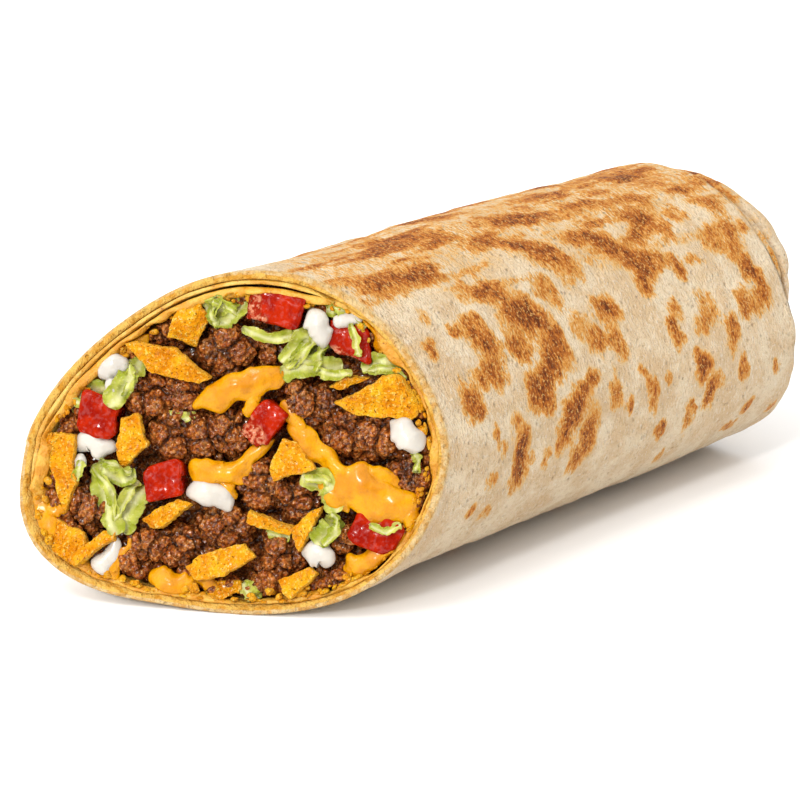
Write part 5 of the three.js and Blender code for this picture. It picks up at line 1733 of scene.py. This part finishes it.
@dataclass
class CornChips:
    """Broken corn chips that show on the cut."""

    thick: float = 1.3
    pieces: tuple[Chip, ...] = (
        Chip(((-20, 16.4), (-15, 11.7), (-6, 9.8), (-3.9, 11), (-10, 16.3)), -0.2, -20, 14, 1.2),
        Chip(((-12.2, 17.5), (-7.4, 15.9), (-5.2, 21.4), (-9.2, 24.6), (-11.3, 22.4)), -1.2, -80, -14, 1.2),
        Chip(((-34.8, 0.1), (-31.2, -9.4), (-29.6, -13.9), (-27, -8), (-27.8, -0.3)), -1.2, -86, 12, 0.9),
        Chip(((-20.3, -2), (-19.4, -6.1), (-14.4, -1), (-17, 4), (-19.8, 3.2)), -0.7, -100, 10, 0.8),
        Chip(((-32.4, -21.4), (-29, -24), (-24.4, -20.4), (-25.4, -17), (-31.6, -15.2)), -1.6, -68, 8, 0.9),
        Chip(((-28.4, -22.2), (-27.2, -23.6), (-20.2, -18.2), (-19.6, -16),
            (-22.4, -17)), -0.4, 38, -20, 0.6),
        Chip(((-16, -14.6), (-13.2, -16), (-11.4, -15.6), (-6.8, -11.2), (-9, -10.2)), -0.8, 31, -16, 0.8),
        Chip(((-7.8, -22.2), (-5.4, -24.2), (-0.8, -23.8), (4.8, -19.6), (3, -17.3),
            (-3, -18.9)), -0.3, 20, -12, 1),
        Chip(((8.6, 1.4), (6.6, -4.6), (7.6, -6.3), (15.2, -3.8), (11.4, 0.5)), -0.6, 238, 8, 0.7),
        Chip(((17.2, 7.7), (21.4, 6), (31, 5.7), (33, 8.2), (29.6, 13.5), (26.6, 13.4)), -0.7, 12, 12, 1.3),
        Chip(((16, 10.4), (18.6, 10.2), (23.4, 12.4), (19.6, 12.4)), -1.3, 15, 16, 0.4),
        Chip(((2.6, -13.5), (5.4, -14.6), (10.6, -15.4), (11.4, -14), (3.4, -11.3)), -1, -10, 16, 0.5),
        Chip(((10.4, -14.6), (12.4, -18.6), (14.4, -15.4), (16.6, -9.8), (14, -11.2)), -0.6, 60, -14, 0.5),
        Chip(((8.8, -23.4), (9.9, -25.9), (11.6, -26.9), (16.2, -21.6), (14.4, -20.6)), -0.7, 30, -14, 0.7),
        Chip(((-4.6, -24.8), (-3.6, -27.4), (-0.8, -27.9), (2.4, -25.6), (2.2, -24)), -1.8, 4, -10, 0.4),
        Chip(((-35.8, -3), (-35.8, -8), (-33.6, -9.4), (-31.8, -8), (-33.6, -3.6)), -2.2, -80, 14, 0.4),
    )
    finish: Material = field(init=False)

    def one(self, number: int, chip: Chip) -> Object:
        """A plate through its corners, arched along its length, with bitten edges and a blistered face.

        Args:
            number: number of the chip, from 1.
            chip: its sizes.
        Returns:
            The chip.
        """
        corners = np.array(chip.corners)
        at = corners.mean(0)
        way = math.radians(chip.along)
        spin = np.array([[math.cos(way), -math.sin(way)], [math.sin(way), math.cos(way)]])
        local = (corners - at) @ spin
        half = np.abs(local[:, 0]).max()
        side = np.roll(local, -1, 0) - local
        normal = np.stack([side[:, 1], -side[:, 0]], -1) / np.hypot(side[:, 0], side[:, 1])[:, None]
        planes = np.concatenate([normal, (normal * local).sum(1, keepdims=True)], 1)
        face = np.linspace(0.03, 0.965, 24)
        share = np.concatenate([face, [0.985, 1.0, 1.0, 0.985], face[::-2]])
        level = np.concatenate([1 + 0 * face, [0.88, 0.55, -0.55, -0.9], -1 + 0 * face[::-2]])
        grid = slab(planes, self.thick / 2, (share, level), 150, 60)
        rough = grid + 13.7 * number
        bitten = 0.34 * noise(rough * [1, 1, 0], 2.4, 2) + 0.2 * noise(rough * [1, 1, 0.5], 0.9, 3)
        away = np.maximum(np.hypot(grid[..., 0], grid[..., 1]), 1e-3)
        push = 1 + (bitten - 0.05) * smooth(0.5, 1, share)[:, None] / away
        grid = grid * np.stack([push, push, np.ones_like(push)], -1)
        arch = chip.bend * (1 - (grid[..., 0] / half) ** 2)
        blister = 0.34 * noise(rough * [1, 1, 0], 3.0, 4) + 0.16 * noise(rough * [1, 1, 0], 1.2, 7)
        grid[..., 2] += arch + blister
        grid = rounded(grid, 0.12 * noise(rough, 0.55, 6))
        grid = FACE.place(grid, tuple(at), chip.out, chip.along, chip.pitch)
        edge_mask = smooth(0.9, 0.99, share)[:, None] + 0 * grid[..., 0]
        shell = Shell().add(ROLL.confine(grid), edge=edge_mask)
        return shell.build(f"corn_chip_{number:02d}", self.finish, "chip", f"chip_{number}")

    def build(self) -> None:
        """Makes every chip."""
        self.finish = ChipFinish().material()
        for number, chip in enumerate(self.pieces, 1):
            self.one(number, chip)


# ---- flows: sour cream and cheese sauce


class Pour(Enum):
    """What is poured: its names in the frame and in the scene."""

    CREAM = ("sour_cream", "sour_cream_dollop")
    CHEESE = ("cheese_sauce", "cheese_pour")


@dataclass(frozen=True)
class Flow:
    """One flow: knots of u, v, out and half width, and its height as a share of its width."""

    knots: Rows
    flat: float = 0.55


@dataclass
class Poured:
    """Sour cream or cheese sauce that lies on the cut.

    Lumpy is how far its surface wanders, in millimetres, and lobes how much its width does, as a share. Its
    back is round at a brow of 1 and sharper above that, and blunt makes its ends fuller.
    """

    pour: Pour
    flows: tuple[Flow, ...]
    lumpy: float
    lobes: float
    brow: float
    blunt: float
    drips: tuple[Flow, ...] = ()

    def one(self, number: int, flow: Flow) -> Shell:
        """A flattened tube along a path whose ends close in a round and whose sides wander a little.

        Args:
            number: which wandering.
            flow: its path and height.
        Returns:
            The tube.
        """
        rows, columns = 84, 56
        share, spot, side, up = path_frames(np.array(flow.knots), rows)
        end = np.sqrt(np.clip(1 - np.abs(2 * share - 1) ** self.blunt, 0.004, 1))[:, None]
        turn = turns(columns)
        half = spot[:, 3:4] * end
        strip = np.stack(np.broadcast_arrays(share[:, None] * 17, np.cos(turn) * 2, 7.7 * number), -1)
        lobed = 1 + self.lobes * noise(strip, 3.4, 12) + 0.35 * self.lobes * noise(strip, 1.6, 13)
        across = half * np.cos(turn) * lobed
        rise = half * flow.flat * squared(np.sin(turn), self.brow)
        grid = spot[:, None, :3] + side[:, None] * across[..., None] + up[:, None] * rise[..., None]
        grid = FACE.point(grid)
        seeded = grid + 17.3 * number
        wander = self.lumpy * (0.7 * noise(seeded, 3.4, 8) + 0.18 * noise(seeded, 1.7, 9))
        grid = rounded(grid, wander * end)
        return Shell().add(ROLL.confine(grid))

    def build(self, material: Material) -> None:
        """Makes every flow in one finish, then the small drips that have no solid.

        Args:
            material: the finish.
        """
        node, name = self.pour.value
        for number, flow in enumerate(self.flows, 1):
            self.one(number, flow).build(f"{name}_{number}", material, node, f"{node}_{number}")
        for number, flow in enumerate(self.drips, 1):
            self.one(20 + number, flow).build(f"{name}_drip_{number}", material, node)


CREAM_FLOWS = (
    Flow(((-24.2, 9.8, -1.1, 1.6), (-22, 11.8, -0.3, 2.2), (-19, 12.6, -0.5, 1.7)), 0.8),
    Flow(((-28.4, -3.2, -1.5, 1.3), (-26, -1.2, -0.8, 2), (-23.4, -1.9, -0.6, 2.1),
        (-20.6, -2.2, -1.1, 1.5)), 0.75),
    Flow(((12.6, 23.4, -0.6, 1.5), (14, 21.4, 0.3, 2.2), (15, 19, 0.2, 1.9), (15, 16.8, -0.3, 1.1)), 0.75),
    Flow(((16.8, 21, 0, 1.6), (18.8, 21.9, 0, 1.5), (22, 23, -0.8, 0.9)), 0.75),
    Flow(((-8.2, -9.4, -1.3, 1.4), (-5.2, -8.9, -0.6, 2.2), (-2, -9.8, -0.5, 2),
        (-0.1, -12, -0.8, 1.3)), 0.75),
    Flow(((27.2, 5.2, -0.4, 1), (29.4, 3.6, 0.3, 2.3), (31.4, 1.6, 0.6, 2.9), (31.8, -0.2, 0.3, 1.8)), 0.8),
    Flow(((12.6, -18.4, -1.1, 1.1), (15, -18.2, -0.5, 2.1), (17, -18.8, -0.3, 2.3),
        (17, -20.8, -0.8, 1.5)), 0.8),
    Flow(((-24.2, -24, -1.8, 1.5), (-22.8, -22.6, -1.3, 2.2), (-21, -20.4, -1.2, 1.6),
        (-20.4, -17.6, -1.1, 0.9)), 0.8),
)

CREAM_DRIPS = (
    Flow(((-22, 10.2, -0.2, 1.3), (-21.7, 7.6, 0.6, 1.1), (-22.4, 5.4, 1.1, 0.7)), 0.7),
    Flow(((-27.4, -3.6, -0.8, 0.9), (-27, -5, -0.2, 1), (-27.6, -6.4, 0, 0.6)), 0.7),
)

CHEESE_DRIPS = (
    Flow(((3.6, 9.4, -0.6, 1.6), (3.0, 6.8, -0.2, 1.3), (2.2, 4.4, -0.6, 0.8))),
    Flow(((12.4, 2.6, -0.8, 1.8), (9.8, 5.2, -1.0, 1.4), (8, 7.4, -1.4, 0.9))),
    Flow(((20.4, -5.4, -0.3, 2.0), (24.6, -4.4, -0.4, 1.9), (29.4, -6.4, -0.8, 1.3))),
    Flow(((15.4, -3.4, -0.8, 1.5), (17.6, -7.6, -0.2, 1.8), (20.6, -11, -0.4, 1.1))),
    Flow(((30.4, -9.6, -0.8, 1.6), (32.4, -12.4, -0.8, 1.4), (31.6, -14.8, -1.2, 0.8))),
    Flow(((-2.4, -6.4, -0.8, 1.2), (-0.4, -8.2, -0.6, 1.2), (0.8, -9.8, -1, 0.7))),
    Flow(((-17.6, -17.4, -1, 0.9), (-18.6, -20.4, -0.6, 1.0), (-21, -25.4, -1.2, 1.5))),
    Flow(((-6.4, -24.2, -1.6, 1.5), (-3.6, -25.4, -1.2, 1.5), (0.6, -26.8, -1.8, 1.2))),
    Flow(((-29.4, -13, -1.6, 0.9), (-31.6, -14, -1.0, 1.4), (-34, -13, -1.6, 1.2))),
)

CHEESE_FLOWS = (
    Flow(((-7.8, 5.4, -1.4, 1.8), (-3.8, 7.9, -0.3, 2.6), (1.4, 9.7, 0, 2.8), (6, 11.5, -0.5, 2),
        (9.6, 13.2, -1.3, 1.2))),
    Flow(((-8, -4.6, -1.4, 1.5), (-4.6, -5.2, -0.6, 2.3), (-0.8, -5.8, -0.5, 2.5), (2.8, -2.6, -0.6, 1.5),
        (7, 0.8, -1.3, 1.1))),
    Flow(((9.2, 3.6, -1.5, 1.5), (12.8, 1.4, -1, 2.1), (16.6, -1.8, -0.7, 2.3), (20.8, -5.6, -0.2, 3.5),
        (26.6, -8.4, -0.2, 3.3), (33.4, -9.4, -1.3, 2.6)), 0.5),
    Flow(((21, 23.2, -1.9, 1.2), (24.4, 20.6, -1.4, 1.8), (26.4, 17.8, -1.5, 2.4),
        (28.8, 15, -2.2, 1.6)), 0.6),
    Flow(((-14.4, -24, -2, 1.6), (-10, -25.4, -1.3, 2.5), (-5.4, -26.2, -1.8, 2)), 0.6),
    Flow(((20, -22, -2.1, 1.7), (24.4, -19.2, -1.4, 2.8), (31.4, -13.2, -2, 1.7)), 0.6),
    Flow(((-34.6, -10, -2.2, 1.4), (-32.9, -16.4, -1.6, 2.2), (-29.4, -21.4, -2, 1.6)), 0.6),
    Flow(((-28.4, 7.4, -2.4, 1.3), (-23, 12.8, -1.6, 2), (-16, 17.6, -2, 1.5)), 0.6),
)


@dataclass
class SauceFilm:
    """Thin sauce and crumbled corn that line the wall just below the cut."""

    depth: float = 1.2
    level: float = -0.4
    grains: int = 240
    seed: int = 31

    def build(self) -> None:
        """A lumpy band round the inside whose section is an oval that swells and thins by noise."""
        rows, columns = 30, 560
        share = np.arange(columns)[None, :] / columns
        turn = np.linspace(0, TAU, rows, endpoint=False)[:, None]
        flat = np.stack([share * ROLL.girth, 0 * share, 0 * share], -1)
        thick = self.depth * (1 + 0.7 * noise(flat, 7, 91) + 0.5 * noise(flat, 2.6, 92))
        level = self.level + 0.7 * noise(flat, 5, 93) + 0.9 * smooth(0, 0.4, ROLL.wall(share) - ROLL.layer)
        depth = ROLL.wall(share) - 0.05 + thick * (1 - np.cos(turn)) / 2
        behind = -level / abs(FACE.out[0]) + 2.0 * (1 + np.sin(turn)) / 2
        grid = ROLL.skin_at_cut(share + 0 * turn, depth, behind)
        grit = 0.45 * noise(grid, 1.9, 94) + 0.35 * (0.5 - cells(grid, 1.3, 95)[0])
        grid = grid + FACE.out * grit[..., None]
        quads = looped_quads(rows, columns) % (rows * columns)
        mesh = surface("sauce_film", grid.reshape(-1, 3), quads, np.zeros((0, 3), int))
        piece("sauce_film", mesh, FoldFinish("E39A1C", "F0B944").material(), "cheese_sauce")
        self.crumbs()

    def crumbs(self) -> None:
        """Broken grains of corn strewn along the wall: uneven balls made angular by noise."""
        random = np.random.default_rng(self.seed)
        shell = Shell()
        grain = ball(6, 8, 0.15)
        for _ in range(self.grains):
            share = random.uniform(0, 1)
            depth = ROLL.wall(np.array([share])) + random.uniform(0.2, 2.2)
            spot = ROLL.skin_at_cut(np.array([share]), depth, random.uniform(0.3, 1.4, 1))[0]
            bit = grain * random.uniform(0.35, 0.85) * random.uniform(0.4, 1.3, 3)
            bit = bit * (1 + 0.5 * noise(bit + spot, 0.7, 5))[..., None]
            edge = random.uniform(0, 0.8) + 0 * bit[..., 0]
            shell.add(ROLL.confine(bit + spot + FACE.out * 0.2, 0.2), edge=edge)
        shell.build("corn_crumbs", ChipFinish().material(), "chip")


# ---- lettuce


@dataclass(frozen=True)
class Shred:
    """One shred: knots of u, v, out, its width, the turns of its flat, how green it is and its ruffle."""

    knots: Rows
    width: float
    twist: Pair
    tint: float = 0.2
    ruffle: float = 0.5


@dataclass
class Lettuce:
    """Shredded lettuce that shows on the cut."""

    thick: float = 0.36
    waves: float = 1.9
    pieces: tuple[Shred, ...] = (
        Shred(((-6.4, 23.4, -1.8), (-3.4, 23.2, -0.8), (-0.2, 24.8, -1.4)), 3.2, (20, -10)),
        Shred(((1.2, 24.8, -2), (-0.9, 21.8, -0.7), (-4.4, 20.2, -0.6)), 3.4, (10, 30)),
        Shred(((13.6, 20.6, -2.2), (11.4, 18.2, -0.6), (8, 14, -0.3)), 2.8, (-20, 20)),
        Shred(((15, 19.6, -3), (14, 16.8, -1.6), (11.4, 13.8, -0.6)), 3, (15, -15)),
        Shred(((8, 12, -0.6), (13, 13.7, -0.2), (18.4, 14.3, -1.6)), 3.4, (-12, 14), 0.6),
        Shred(((1.2, 19.9, 0.6), (5.8, 18.4, 0.5), (10.2, 19, -0.6)), 2, (20, -8), 0, 0.2),
        Shred(((11.6, 24.2, -2.2), (15.4, 23.8, -1.4), (19.6, 22.4, -2)), 2.6, (10, -20), 0.7),
        Shred(((21.8, 13.8, -1.6), (25.4, 15, -0.6), (29.4, 14.6, -1.4)), 3.2, (-16, 12), 0.5),
        Shred(((-17, 12.8, -1.6), (-19.4, 9.4, 0.4), (-22, 5, 1.5)), 3.8, (10, -20)),
        Shred(((-29.2, 4.4, -2.2), (-26.4, 6.6, -1), (-22.4, 8.4, -1.2)), 3.6, (-18, 10), 0.5),
        Shred(((-24, -5, -1.2), (-22.4, -10.6, -0.4), (-19.6, -17.2, 0.2)), 3.8, (24, -12)),
        Shred(((-15.6, -8.6, -1.8), (-17.2, -12.2, -0.6), (-18.8, -17, -0.6)), 3.8, (-12, 16), 0.4),
        Shred(((-22.8, -5.4, 0), (-19.8, -7.2, 0.4), (-16.8, -6.9, 0)), 3, (14, -14), 0.6),
        Shred(((12.4, -4.8, -0.4), (17.2, -6.4, 0.4), (18.6, -11, 0)), 4.2, (-14, 10), 0),
        Shred(((18.8, -12.2, -1.8), (17.2, -14, -0.6), (14.8, -16.4, 0.4)), 3.8, (12, -12), 0.4),
    )
    strays: tuple[Shred, ...] = (
        Shred(((-5.4, 24.6, -1), (-2.2, 23.4, 0), (0.8, 21.4, -0.4)), 1.6, (20, -30)),
        Shred(((-3.4, 25, -1.6), (-4.4, 22.2, -0.2), (-3.2, 19.4, -0.2)), 1.5, (-20, 30), 0.6),
        Shred(((14.2, 19.2, -0.8), (12.4, 16.4, 0.4), (9.8, 13.4, 0.2)), 1.6, (30, -10)),
        Shred(((15.4, 17.6, -0.4), (14.6, 15.4, 0.6), (14.6, 13, 0.2)), 1.5, (-10, 30), 0.5),
        Shred(((12.2, 18.4, -0.6), (10.4, 15.4, 0.2), (9.2, 12.8, 0)), 1.4, (-30, 10)),
        Shred(((13.8, 13.2, -0.2), (17, 12.4, 0.4), (20.4, 13, -0.2)), 1.8, (10, -20)),
        Shred(((19.9, 21.5, 0.5), (21.2, 18.8, 0.9), (21.8, 15.8, 0.5)), 1.5, (0, 30), 0, 0.15),
        Shred(((24.8, -12.4, 0.6), (27.4, -13.6, 0.9), (30, -12.4, 0.3)), 1.6, (20, -30), 0, 0.2),
        Shred(((-26.4, -4.6, 0.4), (-26.8, -6.2, 0.4), (-27.6, -8, 0)), 1.8, (0, 10), 0, 0.1),
        Shred(((-24.6, -6, 0.2), (-21.4, -9.4, 0.6), (-20.2, -14.2, 0.6)), 1.7, (-30, 20)),
        Shred(((-16.6, -7.6, -0.4), (-18.4, -10.4, 0.4), (-20.4, -14.8, 0.4)), 1.8, (20, -20), 0.1),
        Shred(((-23.4, -4.4, -0.2), (-20.4, -5.2, 0.6), (-17.6, -5.8, 0)), 1.5, (10, 30), 0.5),
        Shred(((-28.8, 5.6, -0.8), (-26.2, 5.2, 0), (-24.2, 6.6, -0.2)), 1.6, (10, -20), 0.3),
        Shred(((-18.6, 12.6, -0.4), (-18.2, 9.4, 0.6), (-19.4, 6.6, 0.8)), 1.6, (20, -20), 0.5),
        Shred(((13.2, -5.6, 0.4), (16.6, -5.4, 0.9), (18.4, -8.2, 0.4)), 1.7, (-20, 20), 0),
        Shred(((18.4, -11, -0.2), (18.8, -13.8, 0.4), (16.6, -16.6, 0.6)), 1.7, (30, -10), 0.3),
        Shred(((23, 13.4, -0.4), (26.4, 13.8, 0.2), (30.2, 13.2, -0.6)), 1.7, (-20, 20), 0.4),
        Shred(((15.6, 24.4, -1), (18.6, 23.4, -0.4), (22.4, 21, -1)), 1.7, (20, 0), 0.6),
        Shred(((31.4, 0.4, -0.8), (32.4, -1.4, -0.2), (32.2, -3.4, -0.6)), 1.5, (20, 0), 0.2),
        Shred(((-12, 4.2, -1.8), (-9.4, 3.6, -1.2), (-7, 4.2, -1.6)), 1.8, (10, -10), 0, 0.2),
        Shred(((2.8, -24.2, -1.8), (3.8, -25.8, -1.3), (5.2, -27.4, -1.8)), 2.8, (10, -10), 0, 0.2),
        Shred(((6.4, -15.2, -1.8), (8.4, -15.8, -1.4), (10.4, -16.2, -1.6)), 1.6, (10, -10), 0, 0.2),
        Shred(((-8.4, 27.2, -1.6), (-4.8, 26.6, -0.8), (-1, 26.8, -1.2)), 2.6, (10, -20), 0.2),
        Shred(((-5.6, 26.8, -0.8), (-4, 24.2, -0.2), (-4.4, 21, -0.4)), 2.6, (-10, 20), 0.1),
    )
    finish: Material = field(init=False)

    def one(self, name: str, number: int, shred: Shred, *replaced: str) -> Object:
        """A ribbon along a path: thick rib, thin ruffled sides, twisting from end to end.

        Args:
            name: name of the piece.
            number: which wandering.
            shred: its path and sizes.
            replaced: node of the frame that it stands for.
        Returns:
            The shred.
        """
        rows, columns = 84, 40
        share, spot, side, up = path_frames(np.array(shred.knots), rows)
        run = share[:, None]
        body = 0.6 + 0.4 * np.sin(np.pi * mix(0.05, 0.95, share)) ** 0.6
        tip = np.sqrt(np.clip(1 - np.abs(2 * share - 1) ** 24, 0.01, 1))
        half = (shred.width / 2 * body * tip)[:, None]
        turn = turns(columns)
        across = squared(np.cos(turn), 0.75)
        angle = np.radians(mix(shred.twist[0], shred.twist[1], share))[:, None]
        strand = np.stack(np.broadcast_arrays(run * 12, across + 5.1 * number, 0), -1)
        wave = shred.ruffle * np.sin(TAU * self.waves * run + 1.3 * across + number)
        crimp = 1.3 * np.abs(across) ** 1.3 * (0.45 - np.abs(noise(strand * [1, 0.9, 1], 1.9, 6)))
        fold = 0.35 * np.abs(across + 0.4 * np.sin(4 * run + number)) + 0.06 * np.cos(7 * across + 2 * run)
        thick = self.thick / 2 * (1 - 0.7 * np.abs(across)) * tip[:, None]
        lift = wave + crimp + fold + np.sin(turn) * thick
        torn = 0.26 * noise(strand * [1, 3, 1], 1.8, 8) + 0.14 * noise(strand * [1, 3, 1], 0.7, 9)
        frayed = half * (1.05 + torn)
        flat = side[:, None] * np.cos(angle)[..., None] + up[:, None] * np.sin(angle)[..., None]
        proud = up[:, None] * np.cos(angle)[..., None] - side[:, None] * np.sin(angle)[..., None]
        grid = spot[:, None, :3] + flat * (across * frayed)[..., None] + proud * lift[..., None]
        rib = 0.85 * (1 - smooth(0.08, 0.5, np.abs(across + 0.35 * np.sin(3 * run + number))))
        tint = shred.tint * smooth(0.2, 1, np.abs(across)) + 0.3 * smooth(0.1, 0.7, noise(strand, 2.2, 14))
        shell = Shell().add(ROLL.confine(FACE.point(grid)), rib=rib + 0 * lift, tint=tint)
        return shell.build(name, self.finish, "lettuce", *replaced)

    def build(self) -> None:
        """Makes every shred."""
        self.finish = LeafFinish().material()
        for number, shred in enumerate(self.pieces, 1):
            self.one(f"lettuce_shred_{number:02d}", number, shred, f"lettuce_{number}")
        for number, shred in enumerate(self.strays, 1):
            self.one(f"lettuce_stray_{number:02d}", 30 + number, shred)


# ---- studio


@dataclass
class Studio:
    """Pale floor, soft lights and the camera, in metres.

    Each light is a name, the way that it comes from, the width of its disc in degrees and its strength.
    """

    target: Triple = (-0.008813, 0.004440, 0.0240)
    distance: float = 0.5073
    azimuth: float = -49.9
    elevation: float = 17.16
    lens: float = 122.49
    floor_reach: float = 3.0
    world_strength: float = 0.56
    lights: tuple[tuple[str, Triple, float, float], ...] = (
        ("sky", (-0.2, 0.15, 0.98), 130, 2.5),
        ("key", (-0.5, 0.02, 0.86), 16, 0.65),
        ("spark", (-0.82, -0.22, 0.52), 6, 1.1),
        ("fill", (-0.96, -0.05, 0.3), 50, 0.5),
    )

    def floor(self) -> None:
        """A wide sheet of paper under the roll."""
        reach = self.floor_reach
        mesh = bpy.data.meshes.new("studio_floor")
        corners = [(-reach, -reach, 0), (reach, -reach, 0), (reach, reach, 0), (-reach, reach, 0)]
        mesh.from_pydata(corners, [], [(0, 1, 2, 3)])
        mesh.materials.append(FloorFinish().material())
        put("studio_floor", mesh)

    def light(self, name: str, way: Triple, spread: float, strength: float) -> None:
        """A distant soft light.

        Args:
            name: name of the light.
            way: direction that it comes from.
            spread: width of its disc in degrees.
            strength: watts on a square metre that faces it.
        """
        lamp = bpy.data.lights.new(name, "SUN")
        lamp.angle = math.radians(spread)
        lamp.energy = strength
        lamp.color = (1, 0.99, 0.98)
        put(name, lamp).rotation_euler = Matrix(self.axes(np.array(way))).transposed().to_euler()

    @staticmethod
    def axes(back: Array) -> list[list[float]]:
        """Right, up and back directions of something that looks along minus back.

        Args:
            back: the way back, of any length.
        Returns:
            The three directions, each crossed from the two before.
        """
        back = back / np.linalg.norm(back)
        right = np.cross([0, 0, 1.0], back)
        right = right / np.linalg.norm(right)
        return [list(map(float, row)) for row in (right, np.cross(back, right), back)]

    def camera(self) -> None:
        """The photograph's camera, from its bearing, height and distance."""
        a, e = math.radians(self.azimuth), math.radians(self.elevation)
        back = np.array([math.sin(a) * math.cos(e), -math.cos(a) * math.cos(e), math.sin(e)])
        lens = bpy.data.cameras.new("camera")
        lens.lens = self.lens
        lens.sensor_width = 36
        lens.clip_start = 0.01
        made = put("camera", lens)
        made.location = np.array(self.target) + back * self.distance
        made.rotation_euler = Matrix(self.axes(back)).transposed().to_euler()
        bpy.context.scene.camera = made

    def build(self) -> None:
        """Sets the floor, the lights, the world and the camera."""
        self.floor()
        world = bpy.data.worlds.new("studio")
        world.use_nodes = True
        ground = world.node_tree.nodes["Background"]
        ground.inputs["Color"].default_value = (1, 1, 1, 1)
        ground.inputs["Strength"].default_value = self.world_strength
        bpy.context.scene.world = world
        for light in self.lights:
            self.light(*light)
        bpy.context.scene.view_settings.view_transform = "Standard"
        self.camera()


def main() -> None:
    """Builds the studio and every part of the burrito in order, and reports each piece."""
    logging.basicConfig(level=logging.INFO, format="%(name)s: %(message)s")
    Studio().build()
    Wrap().build()
    GroundBeef().build()
    Tomatoes().build()
    CornChips().build()
    cream = Poured(Pour.CREAM, CREAM_FLOWS, lumpy=0.45, lobes=0.24, brow=1, blunt=3.2, drips=CREAM_DRIPS)
    cream.build(CreamFinish().material())
    Lettuce().build()
    cheese = Poured(Pour.CHEESE, CHEESE_FLOWS, lumpy=0.8, lobes=0.5, brow=1.25, blunt=5, drips=CHEESE_DRIPS)
    cheese.build(CheeseFinish().material())
    SauceFilm().build()


if __name__ == "__main__":
    main()
